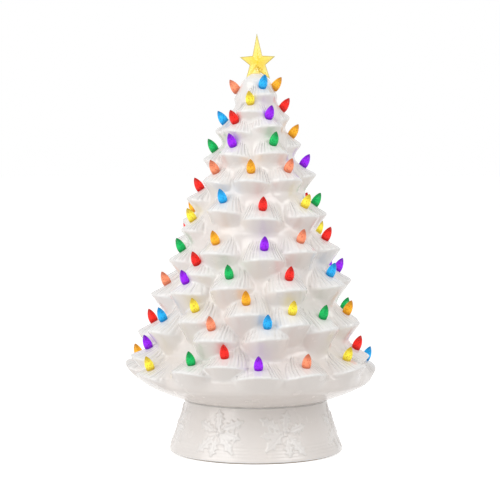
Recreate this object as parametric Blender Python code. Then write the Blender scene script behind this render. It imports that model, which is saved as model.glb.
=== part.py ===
"""Ceramic Christmas tree: a hollow glazed tree with push-in coloured bulbs and a clear yellow star.

The tree lifts off a flared pedestal, which holds a battery box, a switch and a frosted light column.
Bearings are degrees round the vertical axis, 0 at the front (-Y) and 90 at the right (+X).
"""

import math

import bmesh
import bpy
import numpy as np
from mathutils import Matrix, Vector

MM = 0.001
CLEARANCE = 0.3 * MM  # between two pieces that touch
REACH_THROUGH = 2 * MM  # how far a cutter runs past the wall it opens

# Felt base and pedestal
FELT_THICKNESS = 1.2 * MM
FELT_SETBACK = 3.5 * MM  # the felt stops this far inside the foot's edge
FOOT_RADIUS = 124 * MM
FOOT_ROUNDING = 3.5 * MM
FOOT_RING_WIDTH = 11 * MM
NECK_SETBACK = 1.5 * MM  # the neck is this much narrower than the tree's foot
PEDESTAL_HEIGHT = 73.5 * MM
PEDESTAL_WALL = 6 * MM
PEDESTAL_FLARE = 1.25  # 1 is a straight cone, more is a hollow curve
COLLAR_HEIGHT = 8 * MM
COLLAR_WALL = 5 * MM
COLLAR_PLAY = 0.8 * MM
SEAT_RING_THICKNESS = 1 * MM
SEAT_RING_SETBACK = 1 * MM  # from the neck's edge

# Tree, with heights above its foot ring
TREE_HEIGHT = 470 * MM
TREE_FOOT_RADIUS = 104 * MM
TREE_FOOT_RING_WIDTH = 14 * MM
TREE_MOUTH_HEIGHT = 16.5 * MM  # how far up the hollow is nowhere narrower than its mouth
TREE_WALL = 5.5 * MM
BOWL_SPREAD = 3.05  # how fast the underside widens at the foot ring
BOWL_TURN_HEIGHT = 58 * MM  # where it would stand upright, if the boughs didn't cover it
TIP_RADIUS_LOW = 205.6 * MM  # the line of the bough tips, at the foot ring's height
TIP_RADIUS_HIGH = 27.5 * MM  # and at the top of the tree
TRUNK_RADIUS_LOW = 158.3 * MM  # the hollows between the boughs, in the same way
TRUNK_RADIUS_HIGH = 15 * MM
SKIRT_RADIUS = 166.6 * MM  # the hollows between the lowest boughs are fuller
SKIRT_HEIGHT = 42 * MM
SKIRT_SLOPE = 1.1
DOME_HEIGHT = 15 * MM
STAR_SEAT_RADIUS = 7.5 * MM  # the flat on top of the dome

# Boughs, at the size of the lowest row
BOUGH_RIM_DROP = 20 * MM  # from the bulb's middle down to the rim
BOUGH_APEX_RISE = 16 * MM
BOUGH_HALF_WIDTH = 45 * MM
BOUGH_CORNER_DROOP = 7.5 * MM
BOUGH_SLANT = 3 * MM  # how far a rim may slope sideways, which differs from bough to bough
SLANT_CYCLES = 7  # how fast that changes with a bough's height
BOUGH_DROOP_REACH = 1.3  # half widths from its middle, past which the rim droops no further
BOUGH_LIP = 3.6 * MM
BOUGH_UNDERSIDE_SLOPE = 0.76
BOUGH_BLEND = 3 * MM
BOUGH_SQUARENESS = 2.35  # of the rim seen from above: 2 is a parabola
BOUGH_APEX_WIDTH = 0.55  # as a share of the rim's
BOUGH_FANNING = 0.8  # how it widens below its apex: 1 is straight sides
BOUGH_HOLLOWNESS_LOW = 1.2  # of its top from apex to rim: 1 is straight
BOUGH_HOLLOWNESS_HIGH = 2.2
TOP_BOUGH_SCALE = 0.6
TOP_RIM_SCALE = 0.82
TOP_BOUGH_WIDTH_SCALE = 0.9
BOUGH_NARROWING = 1.8  # 1 narrows evenly up the tree, and more keeps the middle rows wide
FAR_ASIDE = 3  # half widths from its middle, past which a bough's shape no longer matters

# Bulbs
BULB_PEG_RADIUS = 3.5 * MM
BULB_PEG_LENGTH = 9 * MM
BULB_BASE_RADIUS = 5.4 * MM
BULB_SHOULDER_HEIGHT = 4 * MM
BULB_RADIUS = 6.5 * MM
BULB_BELLY_RADIUS = 5.6 * MM
BULB_HEIGHT = 20.5 * MM
BULB_SEAT_DROP = 6.2 * MM  # from the bulb's middle down to its hole
BULB_TILT_LOW = math.radians(22)
BULB_TILT_HIGH = math.radians(34)
BULB_HOLE_DEPTH = 13 * MM
SEPARATE_BULB_BEARING = 78  # bulbs further round than this have their holes here, but no solid

# Star
STAR_TOP_POINT = 40.5 * MM
STAR_SIDE_POINT = 27 * MM
STAR_LOWER_POINT = 30 * MM
STAR_NOTCH_RADIUS = 12 * MM
STAR_THICKNESS = 9 * MM
STAR_EDGE_THICKNESS = 2.4 * MM
STAR_CENTRE_HEIGHT = 19 * MM  # above the top of the tree
STAR_PEG_RADIUS = 4 * MM
STAR_PEG_LENGTH = 15 * MM
STAR_SHOULDER_RADIUS = 6.5 * MM
STAR_STEM_RADIUS = 2.8 * MM  # where the stem ends inside the star

# Battery box, on the bottom plate
PLATE_THICKNESS = 2.5 * MM
CELL_COUNT = 3
CELL_RADIUS = 7.1 * MM
CELL_LENGTH = 49.2 * MM
CELL_BUTTON_RADIUS = 2.7 * MM
CELL_BUTTON_HEIGHT = 1.2 * MM
CELL_PLAY = 0.5 * MM
CONTACT_THICKNESS = 0.6 * MM
CONTACT_HALF_WIDTH = 5 * MM
BAY_WALL = 2 * MM
BAY_NEAR_Y = 22 * MM  # the bay's inner face on the hinge side
HINGE_ROOM = 5 * MM  # between that face and the first cell
DOOR_THICKNESS = 2 * MM
DOOR_PLAY = 0.5 * MM
KNUCKLE_RADIUS = 1.9 * MM
KNUCKLE_HALF_LENGTH = 20 * MM
HINGE_PIN_RADIUS = 0.7 * MM
HINGE_EAR_WIDTH = 4 * MM
HINGE_EAR_HALF_DEPTH = 2.6 * MM
HINGE_EAR_ROOF = 0.8 * MM

# Switch, on the bottom plate
SWITCH_MIDDLE_Y = -52 * MM
SWITCH_LENGTH = 20 * MM
SWITCH_WIDTH = 10 * MM
SWITCH_HEIGHT = 7 * MM
SWITCH_WALL = 1.2 * MM
SWITCH_TRAVEL = 6 * MM  # OFF to TIMER, with ON halfway
SLIDER_KNOB_LENGTH = 4 * MM
SLIDER_KNOB_WIDTH = 3 * MM
SLIDER_KNOB_PROUD = 0.9 * MM
SLIDER_FLANGE_WIDTH = 1.5 * MM
SLIDER_FLANGE_THICKNESS = 1.5 * MM

# Light column and its board
COLUMN_RADIUS = 16 * MM
COLUMN_WALL = 1.5 * MM
COLUMN_TOP = 320 * MM  # above the floor
COLUMN_SOCKET_HEIGHT = 10 * MM
COLUMN_SOCKET_WALL = 2.5 * MM
BOARD_THICKNESS = 1.6 * MM
LED_STRIP_WIDTH = 10 * MM
LED_STRIP_THICKNESS = 2 * MM
LED_STRIP_TOP_GAP = 12 * MM
COLUMN_ROUNDING = 5 * MM

# Screws that hold the bottom plate to the pedestal's lugs
SCREW_BEARINGS = (0, 120, 240)
SCREW_RADIUS = 1.6 * MM
SCREW_LENGTH = 14 * MM
SCREW_HEAD_RADIUS = 3.2 * MM
SCREW_HEAD_HEIGHT = 1.6 * MM
LUG_RADIUS = 7 * MM
LUG_HEIGHT = 16 * MM
LUG_INSET = 6.2 * MM  # from the plate's edge to a screw's axis

# Fineness of the meshes
TREE_COLUMNS = 210
TREE_ROWS = 170
ROWS_BELOW_FOOT = 4  # cut off again, so that the foot ring is flat
WALL_ARC = math.radians(30)  # a wall's thickness spans less than this, even at the top
TREE_FACES = 3600
CAVITY_FACES = 900
ROUND_SIDES = 40
BULB_SIDES = 6
PEDESTAL_LEVELS = 7
SMALL_SIDES = 16

# What stands on what, as heights above the floor
PLATE_BOTTOM = FELT_THICKNESS + CLEARANCE
PLATE_TOP = PLATE_BOTTOM + PLATE_THICKNESS
PEDESTAL_TOP = PLATE_BOTTOM + PEDESTAL_HEIGHT
TREE_BOTTOM = PEDESTAL_TOP + SEAT_RING_THICKNESS + 2 * CLEARANCE
TREE_TOP = TREE_BOTTOM + TREE_HEIGHT
TREE_MOUTH_RADIUS = TREE_FOOT_RADIUS - TREE_FOOT_RING_WIDTH
NECK_RADIUS = TREE_FOOT_RADIUS - NECK_SETBACK
COLLAR_RADIUS = TREE_MOUTH_RADIUS - COLLAR_PLAY
COLLAR_BORE_RADIUS = COLLAR_RADIUS - COLLAR_WALL
PLATE_RADIUS = FOOT_RADIUS - FOOT_ROUNDING - FOOT_RING_WIDTH - CLEARANCE
LUG_CIRCLE_RADIUS = PLATE_RADIUS - LUG_INSET
BULB_CLEARANCE = CLEARANCE / math.cos(math.pi / BULB_SIDES)  # at a corner of a bulb's sides

# The battery bay's inner size and the hinge's place
CELL_PITCH = 2 * CELL_RADIUS + CELL_PLAY
CELLS_LENGTH = CELL_LENGTH + CELL_BUTTON_HEIGHT
CONTACT_INNER_X = CELLS_LENGTH / 2 + CLEARANCE
BAY_HALF_LENGTH = CONTACT_INNER_X + CONTACT_THICKNESS + CLEARANCE
BAY_FAR_Y = BAY_NEAR_Y + HINGE_ROOM + CELL_COUNT * CELL_PITCH + CELL_PLAY
CELL_Z = PLATE_TOP + CLEARANCE + CELL_RADIUS
BAY_TOP = CELL_Z + CELL_RADIUS + CLEARANCE
HINGE_Y = BAY_NEAR_Y + KNUCKLE_RADIUS + DOOR_PLAY
HINGE_Z = PLATE_BOTTOM + KNUCKLE_RADIUS
PANEL_NEAR_Y = HINGE_Y + math.hypot(HINGE_EAR_HALF_DEPTH, KNUCKLE_RADIUS) + CLEARANCE
COLUMN_BORE_RADIUS = COLUMN_RADIUS - COLUMN_WALL
BOARD_TOP = PLATE_TOP + CLEARANCE + BOARD_THICKNESS

# The boughs that show from the front: bearing in degrees, height of the bulb's middle as a
# percentage of the tree's height, reach beyond the line of the tips in millimetres, bulb colour
FRONT_BOUGHS = (
    (19, 97.2, 0, "blue"),
    (85, 96.7, -8, "orange"),
    (-88, 95.9, -9, "salmon"),
    (-13, 92.2, 0, "yellow"),
    (90, 90.3, -3, "red"),
    (25, 87.8, 0, "purple"),
    (-42, 86.4, 0, "red"),
    (-90, 86.3, 0, "blue"),
    (88, 82.2, -1, "orange"),
    (26, 79.8, 0, "green"),
    (-36, 79.3, 0, "purple"),
    (-90, 77.7, 2, "green"),
    (90, 73.0, 4, "purple"),
    (41, 71.7, 0, "salmon"),
    (-6, 71.5, 0, "orange"),
    (-56, 71.2, 0, "salmon"),
    (-90, 65.7, 4, "red"),
    (-34, 62.6, 0, "blue"),
    (97, 61, -1, "green"),
    (53, 60.9, 0, "yellow"),
    (6, 60.4, 0, "red"),
    (-100, 58.9, 0, "orange"),
    (-79, 56.4, -3, "yellow"),
    (-108, 52.6, 4, "red"),
    (114, 52, -5, "yellow"),
    (72, 50.8, 2, "red"),
    (37, 50.6, 0, "salmon"),
    (-33, 50.2, 0, "orange"),
    (6, 48.7, 0, "purple"),
    (-81, 47.2, -3, "green"),
    (-48, 43.8, -5, "red"),
    (98, 40.6, -1, "purple"),
    (-110, 41.1, 0, "blue"),
    (-18, 40.4, 0, "green"),
    (60, 40.2, 0, "blue"),
    (22, 39.9, 0, "red"),
    (-51, 38.3, 5, "purple"),
    (-90, 36.6, 4, "salmon"),
    (-6, 33.0, 0, "orange"),
    (-38, 30.4, 0, "yellow"),
    (112, 27.6, -4, "green"),
    (21, 30, 0, "yellow"),
    (70, 28.5, -7, "orange"),
    (41, 28.3, 0, "green"),
    (-66, 26.6, 0, "blue"),
    (6, 26.2, 0, "blue"),
    (-25, 25.5, 0, "salmon"),
    (-90, 25, 3, "red"),
    (70, 17.9, -11, "red"),
    (-75, 17.8, 4, "purple"),
    (-16, 17.6, 0, "red"),
    (53, 15.5, 0, "yellow"),
    (-34, 15.1, 0, "green"),
    (25, 14.7, 0, "salmon"),
    (-95, 13.8, 11, "orange"),
    (1, 14.4, 0, "purple"),
    (90, 13.3, -15, "blue"),
    (-61, 12.3, 0, "yellow"),
)
MIRRORED_BEARING = 65  # boughs nearer the front than this repeat at the back of the mould
BULB_COLOURS = {
    "red": (0.79, 0.03, 0.02),
    "blue": (0.05, 0.39, 0.79),
    "green": (0.01, 0.45, 0.16),
    "purple": (0.26, 0.03, 0.67),
    "orange": (0.87, 0.39, 0.06),
    "yellow": (0.93, 0.69, 0.15),
    "salmon": (0.87, 0.28, 0.17),
}


def clear_scene():
    for obj in list(bpy.data.objects):
        bpy.data.objects.remove(obj)


def material(name, colour, roughness, metallic=0.0, transmission=0.0):
    found = bpy.data.materials.get(name)
    if found:
        return found
    made = bpy.data.materials.new(name)
    made.use_nodes = True
    shader = made.node_tree.nodes["Principled BSDF"]
    shader.inputs["Base Color"].default_value = (*colour, 1)
    shader.inputs["Roughness"].default_value = roughness
    shader.inputs["Metallic"].default_value = metallic
    shader.inputs["Transmission Weight"].default_value = transmission
    return made


def ceramic_white():
    return material("glazed_white_ceramic", (0.86, 0.85, 0.84), 0.12)


def moulded_white():
    return material("moulded_white_plastic", (0.8, 0.8, 0.78), 0.45)


def sprung_metal():
    return material("nickel_plated_steel", (0.6, 0.58, 0.55), 0.3, metallic=1.0)


def object_from(bm, name, finish=None, smooth_angle=None):
    """Puts a bmesh in the scene. Without a finish it is a helper, which only cuts or joins."""
    mesh = bpy.data.meshes.new(name)
    bm.to_mesh(mesh)
    bm.free()
    obj = bpy.data.objects.new(name, mesh)
    bpy.context.scene.collection.objects.link(obj)
    if smooth_angle:
        mesh.shade_smooth()
        mesh.set_sharp_from_angle(angle=smooth_angle)
    if finish:
        mesh.materials.append(finish)
    else:
        obj.hide_render = True
        obj.display_type = "WIRE"
    return obj


def boolean(obj, helper, operation):
    modifier = obj.modifiers.new(f"{operation.lower()}_{helper.name}", "BOOLEAN")
    modifier.operation = operation
    modifier.solver = "EXACT"
    modifier.use_self = True  # a thinned surface may cross itself
    modifier.object = helper


def add_box(bm, low, high):
    """Adds the box between two corners."""
    size = Vector(high) - Vector(low)
    middle = (Vector(high) + Vector(low)) / 2
    place = Matrix.Translation(middle) @ Matrix.Diagonal((*size, 1))
    bmesh.ops.create_cube(bm, size=1, matrix=place)


def box(name, low, high, finish=None):
    bm = bmesh.new()
    add_box(bm, low, high)
    return object_from(bm, name, finish)


def add_turned(bm, profile, sides, place=Matrix()):
    """Adds a turned solid. The profile is (radius, height) points, closed by the axis or by itself."""
    solid = bmesh.new()
    points = [solid.verts.new((radius, 0, height)) for radius, height in profile]
    edges = [solid.edges.new(pair) for pair in zip(points, points[1:])]
    if profile[0][0] > 0:
        edges.append(solid.edges.new((points[-1], points[0])))
    bmesh.ops.spin(
        solid,
        geom=points + edges,
        cent=(0, 0, 0),
        axis=(0, 0, 1),
        angle=math.tau,
        steps=sides,
        use_merge=True,
    )
    bmesh.ops.remove_doubles(solid, verts=solid.verts, dist=MM / 1000)
    bmesh.ops.recalc_face_normals(solid, faces=solid.faces)
    bmesh.ops.transform(solid, matrix=place, verts=solid.verts)
    mesh = bpy.data.meshes.new("turned_solid")
    solid.to_mesh(mesh)
    solid.free()
    bm.from_mesh(mesh)
    bpy.data.meshes.remove(mesh)


def turned(name, profile, sides, finish=None):
    bm = bmesh.new()
    add_turned(bm, profile, sides)
    return object_from(bm, name, finish, smooth_angle=math.radians(35))


def rod_profile(radius, bottom, top):
    return [(0, bottom), (radius, bottom), (radius, top), (0, top)]


def tube_profile(inner, outer, bottom, top):
    return [(inner, bottom), (outer, bottom), (outer, top), (inner, top)]


def along_x(x, y, z):
    """The place of a turned solid whose axis points along X, with its start at x."""
    return Matrix.Translation((x, y, z)) @ Matrix.Rotation(math.pi / 2, 4, "Y")


def smooth_max(a, b, blend):
    return np.maximum(a, b) + blend * np.log1p(np.exp(-np.abs(a - b) / blend))


def smooth_min(a, b, blend):
    return -smooth_max(-a, -b, blend)


def all_boughs():
    """The front boughs and their mirror images at the back, whose colours move on by two."""
    names = list(BULB_COLOURS)
    boughs = list(FRONT_BOUGHS)
    for bearing, height, reach, colour in FRONT_BOUGHS:
        if abs(bearing) < MIRRORED_BEARING:
            next_colour = names[(names.index(colour) + 2) % len(names)]
            boughs.append((180 - bearing, height, reach, next_colour))
    return boughs


def bulb_height(bough):
    """How high its bulb's middle is above the foot ring."""
    return bough[1] / 100 * TREE_HEIGHT


def share_up(bough):
    """0 at the lowest row of boughs and 1 at the highest."""
    shares = [row[1] for row in FRONT_BOUGHS]
    return (bough[1] - min(shares)) / (max(shares) - min(shares))


def between(low, high, share):
    return low + (high - low) * share


def trunk_radius(height):
    """How far the hollows between the boughs are from the axis."""
    trunk = between(TRUNK_RADIUS_LOW, TRUNK_RADIUS_HIGH, height / TREE_HEIGHT)
    skirt = SKIRT_RADIUS - SKIRT_SLOPE * np.maximum(height - SKIRT_HEIGHT, 0)
    return np.maximum(trunk, skirt)


def bough_radius(bough, bearing, height):
    """One bough: a top that fans out from an apex, and an underside that runs back under its rim."""
    bough_bearing, _, reach, _ = bough
    up = share_up(bough)
    scale = between(1, TOP_BOUGH_SCALE, up)
    half_width = BOUGH_HALF_WIDTH * between(1, TOP_BOUGH_WIDTH_SCALE, up**BOUGH_NARROWING)
    rim = bulb_height(bough) - BOUGH_RIM_DROP * between(1, TOP_RIM_SCALE, up)
    apex = bulb_height(bough) + BOUGH_APEX_RISE * scale
    tip = between(TIP_RADIUS_LOW, TIP_RADIUS_HIGH, rim / TREE_HEIGHT)
    tip = tip + reach * MM + BOUGH_LIP * math.log(2)
    rise = tip - trunk_radius(rim)
    turn = (bearing - math.radians(bough_bearing) + math.pi) % math.tau - math.pi
    sideways = np.clip(turn * tip / half_width, -FAR_ASIDE, FAR_ASIDE)
    aside = np.abs(sideways)
    rim = rim - BOUGH_CORNER_DROOP * scale * np.minimum(aside, BOUGH_DROOP_REACH) ** 2
    slant = BOUGH_SLANT * scale * math.sin(math.radians(bough_bearing) + SLANT_CYCLES * up)
    rim = rim + slant * np.clip(sideways, -BOUGH_DROOP_REACH, BOUGH_DROOP_REACH)
    down = np.clip((apex - height) / (apex - rim), 0, BOUGH_DROOP_REACH)
    spread = between(BOUGH_APEX_WIDTH, 1, down**BOUGH_FANNING)
    arch = 1 - np.minimum(aside / spread, FAR_ASIDE) ** BOUGH_SQUARENESS
    above = np.maximum(height - apex, 0)
    hollowness = between(BOUGH_HOLLOWNESS_LOW, BOUGH_HOLLOWNESS_HIGH, up)
    top = trunk_radius(height) - above + rise * down**hollowness * arch
    edge = trunk_radius(rim) + rise * (1 - aside**BOUGH_SQUARENESS)
    under = edge - BOUGH_UNDERSIDE_SLOPE * (rim - height)
    return smooth_min(top, under, BOUGH_LIP)


def tree_radius(bearing, height):
    """How far the glazed surface is from the axis, at a bearing and a height above the foot ring."""
    radius = trunk_radius(height)
    for bough in all_boughs():
        radius = smooth_max(radius, bough_radius(bough, bearing, height), BOUGH_BLEND)
    in_dome = np.clip((height - TREE_HEIGHT + DOME_HEIGHT) / DOME_HEIGHT, 0, 1)
    radius = between(radius, STAR_SEAT_RADIUS, in_dome**2)
    below_turn = np.minimum(height, BOWL_TURN_HEIGHT)
    widening = below_turn - below_turn**2 / (2 * BOWL_TURN_HEIGHT)
    return smooth_min(radius, TREE_FOOT_RADIUS + BOWL_SPREAD * widening, BOUGH_BLEND)


def worn_inwards(radius, heights, wall):
    """The surface a wall's thickness inside the one given, on a grid of rows by columns."""
    inner = radius - wall
    step = math.tau / radius.shape[1]
    row_height = heights[1] - heights[0]
    most_rows = int(wall / row_height)
    most_columns = int(WALL_ARC / step)
    for rows in range(-most_rows, most_rows + 1):
        moved_rows = np.roll(radius, rows, axis=0)
        if rows > 0:
            moved_rows[:rows] = radius[0]
        if rows < 0:
            moved_rows[rows:] = radius[-1]
        for columns in range(-most_columns, most_columns + 1):
            moved = np.roll(moved_rows, columns, axis=1)
            away = (columns * step * moved) ** 2 + (rows * row_height) ** 2
            depth = np.sqrt(np.maximum(wall**2 - away, 0))
            inner = np.where(away < wall**2, np.minimum(inner, moved - depth), inner)
    return inner


def add_grid_surface(bm, radius, heights, bottom):
    """Adds the closed surface whose radius is given by rows of heights and columns of bearings."""
    bearings = np.linspace(0, math.tau, radius.shape[1], endpoint=False)
    rings = []
    for row, height in zip(radius, heights):
        points = zip(row * np.sin(bearings), -row * np.cos(bearings))
        rings.append([bm.verts.new((x, y, bottom + height)) for x, y in points])
    for below, above in zip(rings, rings[1:]):
        for i in range(len(below)):
            j = (i + 1) % len(below)
            bm.faces.new((below[i], below[j], above[j], above[i]))
    bm.faces.new(list(reversed(rings[0])))
    bm.faces.new(rings[-1])
    bmesh.ops.triangulate(bm, faces=bm.faces)


def decimate(obj, faces):
    modifier = obj.modifiers.new("fewer_faces", "DECIMATE")
    modifier.ratio = faces / len(obj.data.polygons)


def seat_of(bough):
    """The place of a bulb: its seat on the glazed surface, with Z along the bulb's axis."""
    turn = math.radians(bough[0])
    height = bulb_height(bough) - BULB_SEAT_DROP
    radius = float(tree_radius(np.array(turn), np.array(height)))
    tilt = between(BULB_TILT_LOW, BULB_TILT_HIGH, share_up(bough))
    seat = Vector((radius * math.sin(turn), -radius * math.cos(turn), TREE_BOTTOM + height))
    facing = Matrix.Rotation(turn - math.pi / 2, 4, "Z")
    return Matrix.Translation(seat) @ facing @ Matrix.Rotation(tilt, 4, "Y")


def bulb_profile():
    """A pegged bulb, as (radius, height above its seat): peg, base, shoulder, belly and tip."""
    return [
        (0, -BULB_PEG_LENGTH),
        (BULB_PEG_RADIUS, -BULB_PEG_LENGTH),
        (BULB_PEG_RADIUS, 0),
        (BULB_BASE_RADIUS, 0),
        (BULB_RADIUS, BULB_SHOULDER_HEIGHT),
        (BULB_BELLY_RADIUS, (BULB_SHOULDER_HEIGHT + BULB_HEIGHT) / 2),
        (0, BULB_HEIGHT),
    ]


def bulb_hole_profile():
    """The bulb's hole: its peg, base and shoulder with clearance, and open above."""
    hole = BULB_PEG_RADIUS + BULB_CLEARANCE
    recess = BULB_BASE_RADIUS + BULB_CLEARANCE
    mouth = BULB_RADIUS + BULB_CLEARANCE
    return [
        (0, -BULB_HOLE_DEPTH),
        (hole, -BULB_HOLE_DEPTH),
        (hole, -CLEARANCE),
        (recess, -CLEARANCE),
        (mouth, BULB_SHOULDER_HEIGHT - CLEARANCE),
        (mouth, BULB_HEIGHT),
        (0, BULB_HEIGHT),
    ]


def make_tree_body():
    row_height = TREE_HEIGHT / TREE_ROWS
    heights = np.arange(-ROWS_BELOW_FOOT, TREE_ROWS + 1) * row_height
    bearings = np.linspace(0, math.tau, TREE_COLUMNS, endpoint=False)
    radius = tree_radius(bearings[None, :], heights[:, None])
    bm = bmesh.new()
    add_grid_surface(bm, radius, heights, TREE_BOTTOM)
    tree = object_from(bm, "tree_body", ceramic_white(), smooth_angle=math.radians(50))
    decimate(tree, TREE_FACES)

    inner = worn_inwards(radius, heights, TREE_WALL)
    inside = heights < TREE_HEIGHT - DOME_HEIGHT - TREE_WALL
    bm = bmesh.new()
    add_grid_surface(bm, inner[inside], heights[inside], TREE_BOTTOM)
    cavity = object_from(bm, "tree_cavity")
    decimate(cavity, CAVITY_FACES)

    foot_bottom = TREE_BOTTOM - ROWS_BELOW_FOOT * row_height - REACH_THROUGH
    foot_and_mouth = [
        (0, foot_bottom),
        (2 * TREE_FOOT_RADIUS, foot_bottom),
        (2 * TREE_FOOT_RADIUS, TREE_BOTTOM),
        (TREE_MOUTH_RADIUS, TREE_BOTTOM),
        (TREE_MOUTH_RADIUS, TREE_BOTTOM + TREE_MOUTH_HEIGHT),
        (0, TREE_BOTTOM + TREE_MOUTH_HEIGHT),
    ]
    boolean(tree, turned("foot_and_mouth_cut", foot_and_mouth, ROUND_SIDES), "DIFFERENCE")
    boolean(tree, cavity, "DIFFERENCE")
    bm = bmesh.new()
    for bough in all_boughs():
        add_turned(bm, bulb_hole_profile(), BULB_SIDES, seat_of(bough))
    peg_bottom = TREE_TOP - DOME_HEIGHT - 2 * TREE_WALL
    peg_hole = rod_profile(STAR_PEG_RADIUS + CLEARANCE, peg_bottom, TREE_TOP + REACH_THROUGH)
    add_turned(bm, peg_hole, SMALL_SIDES)
    boolean(tree, object_from(bm, "light_holes"), "DIFFERENCE")
    return tree


def make_bulbs(tree_frame):
    number = 0
    for bough in FRONT_BOUGHS:
        colour = bough[3]
        if abs(bough[0]) > SEPARATE_BULB_BEARING:
            continue
        number += 1
        finish = material(f"{colour}_bulb", BULB_COLOURS[colour], 0.2, transmission=0.4)
        name = f"bulb_{number:02d}_{colour}"
        bulb = turned(name, bulb_profile(), BULB_SIDES, finish)
        bulb.parent = tree_frame
        bulb.matrix_local = tree_frame.matrix_world.inverted() @ seat_of(bough)


def star_outline():
    """Ten points, a tip and a notch in turn, clockwise from the top."""
    side, lower = STAR_SIDE_POINT, STAR_LOWER_POINT
    points = []
    for i, tip in enumerate((STAR_TOP_POINT, side, lower, lower, side)):
        for step, radius in ((0, tip), (1, STAR_NOTCH_RADIUS)):
            turn = math.tau * (2 * i + step) / 10
            points.append((radius * math.sin(turn), radius * math.cos(turn)))
    return points


def make_star(star_frame):
    """A ridged five-pointed star on a peg, with its origin on the top of the tree."""
    bm = bmesh.new()
    half_edge = STAR_EDGE_THICKNESS / 2
    front_middle = bm.verts.new((0, -STAR_THICKNESS / 2, STAR_CENTRE_HEIGHT))
    back_middle = bm.verts.new((0, STAR_THICKNESS / 2, STAR_CENTRE_HEIGHT))
    outline = [(x, z + STAR_CENTRE_HEIGHT) for x, z in star_outline()]
    front = [bm.verts.new((x, -half_edge, z)) for x, z in outline]
    back = [bm.verts.new((x, half_edge, z)) for x, z in outline]
    for i in range(len(outline)):
        j = (i + 1) % len(outline)
        bm.faces.new((front[i], front[j], front_middle))
        bm.faces.new((back[j], back[i], back_middle))
        bm.faces.new((front[j], front[i], back[i], back[j]))
    bmesh.ops.recalc_face_normals(bm, faces=bm.faces)
    clear_yellow = material("clear_yellow_plastic", (0.95, 0.74, 0.16), 0.12, transmission=0.6)
    star = object_from(bm, "star_topper", clear_yellow)
    peg = [
        (0, -STAR_PEG_LENGTH),
        (STAR_PEG_RADIUS, -STAR_PEG_LENGTH),
        (STAR_PEG_RADIUS, CLEARANCE),
        (STAR_SHOULDER_RADIUS, CLEARANCE),
        (STAR_STEM_RADIUS, STAR_CENTRE_HEIGHT - STAR_NOTCH_RADIUS / 2),
        (0, STAR_CENTRE_HEIGHT - STAR_NOTCH_RADIUS / 2),
    ]
    stem = turned("star_peg", peg, SMALL_SIDES)
    for piece in (star, stem):
        piece.parent = star_frame
    boolean(star, stem, "UNION")


def pedestal_radius(height):
    """The flared outside of the pedestal, at a height above its foot."""
    share = (PEDESTAL_HEIGHT - height) / (PEDESTAL_HEIGHT - FOOT_ROUNDING)
    return NECK_RADIUS + (FOOT_RADIUS - NECK_RADIUS) * share**PEDESTAL_FLARE


def screw_places():
    for bearing in SCREW_BEARINGS:
        turn = math.radians(bearing)
        yield LUG_CIRCLE_RADIUS * math.sin(turn), -LUG_CIRCLE_RADIUS * math.cos(turn)


def make_pedestal():
    levels = np.linspace(FOOT_ROUNDING, PEDESTAL_HEIGHT, PEDESTAL_LEVELS)
    ring_inner = PLATE_RADIUS + CLEARANCE
    corner_middle = FOOT_RADIUS - FOOT_ROUNDING
    profile = [(ring_inner, 0), (corner_middle, 0)]
    for degrees in (30, 60):
        turn = math.radians(degrees)
        profile.append(
            (
                corner_middle + FOOT_ROUNDING * math.sin(turn),
                FOOT_ROUNDING * (1 - math.cos(turn)),
            )
        )
    profile += [(pedestal_radius(level), level) for level in levels]
    profile += [
        (COLLAR_RADIUS, PEDESTAL_HEIGHT),
        (COLLAR_RADIUS, PEDESTAL_HEIGHT + COLLAR_HEIGHT),
        (COLLAR_BORE_RADIUS, PEDESTAL_HEIGHT + COLLAR_HEIGHT),
        (COLLAR_BORE_RADIUS, PEDESTAL_HEIGHT - PEDESTAL_WALL),
    ]
    for level in levels[::-1]:
        if PEDESTAL_HEIGHT - PEDESTAL_WALL > level > FOOT_ROUNDING + PLATE_THICKNESS:
            profile.append((pedestal_radius(level) - PEDESTAL_WALL, level))
    profile.append((ring_inner, PLATE_THICKNESS + FOOT_ROUNDING))
    profile = [(radius, PLATE_BOTTOM + height) for radius, height in profile]
    pedestal = turned("pedestal", profile, ROUND_SIDES, ceramic_white())

    bm = bmesh.new()
    for x, y in screw_places():
        lug = rod_profile(LUG_RADIUS, PLATE_TOP + CLEARANCE, PLATE_TOP + LUG_HEIGHT)
        add_turned(bm, lug, SMALL_SIDES, Matrix.Translation((x, y, 0)))
        outwards = Vector((x, y, 0)).normalized()
        add_turned(bm, lug, SMALL_SIDES, Matrix.Translation(outwards * PLATE_RADIUS))
    lugs = object_from(bm, "pedestal_lugs")
    boolean(pedestal, lugs, "UNION")
    pedestal.modifiers[-1].use_self = True
    bm = bmesh.new()
    for x, y in screw_places():
        hole = rod_profile(
            SCREW_RADIUS + CLEARANCE,
            PLATE_TOP - REACH_THROUGH,
            PLATE_BOTTOM + SCREW_LENGTH + REACH_THROUGH,
        )
        add_turned(bm, hole, SMALL_SIDES, Matrix.Translation((x, y, 0)))
    boolean(pedestal, object_from(bm, "lug_holes"), "DIFFERENCE")


def make_seat_ring():
    bottom = PEDESTAL_TOP + CLEARANCE
    inner = COLLAR_RADIUS + CLEARANCE
    outer = NECK_RADIUS - SEAT_RING_SETBACK
    profile = tube_profile(inner, outer, bottom, bottom + SEAT_RING_THICKNESS)
    silicone = material("clear_silicone", (0.78, 0.78, 0.76), 0.5)
    turned("seat_ring", profile, ROUND_SIDES, silicone)


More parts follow.
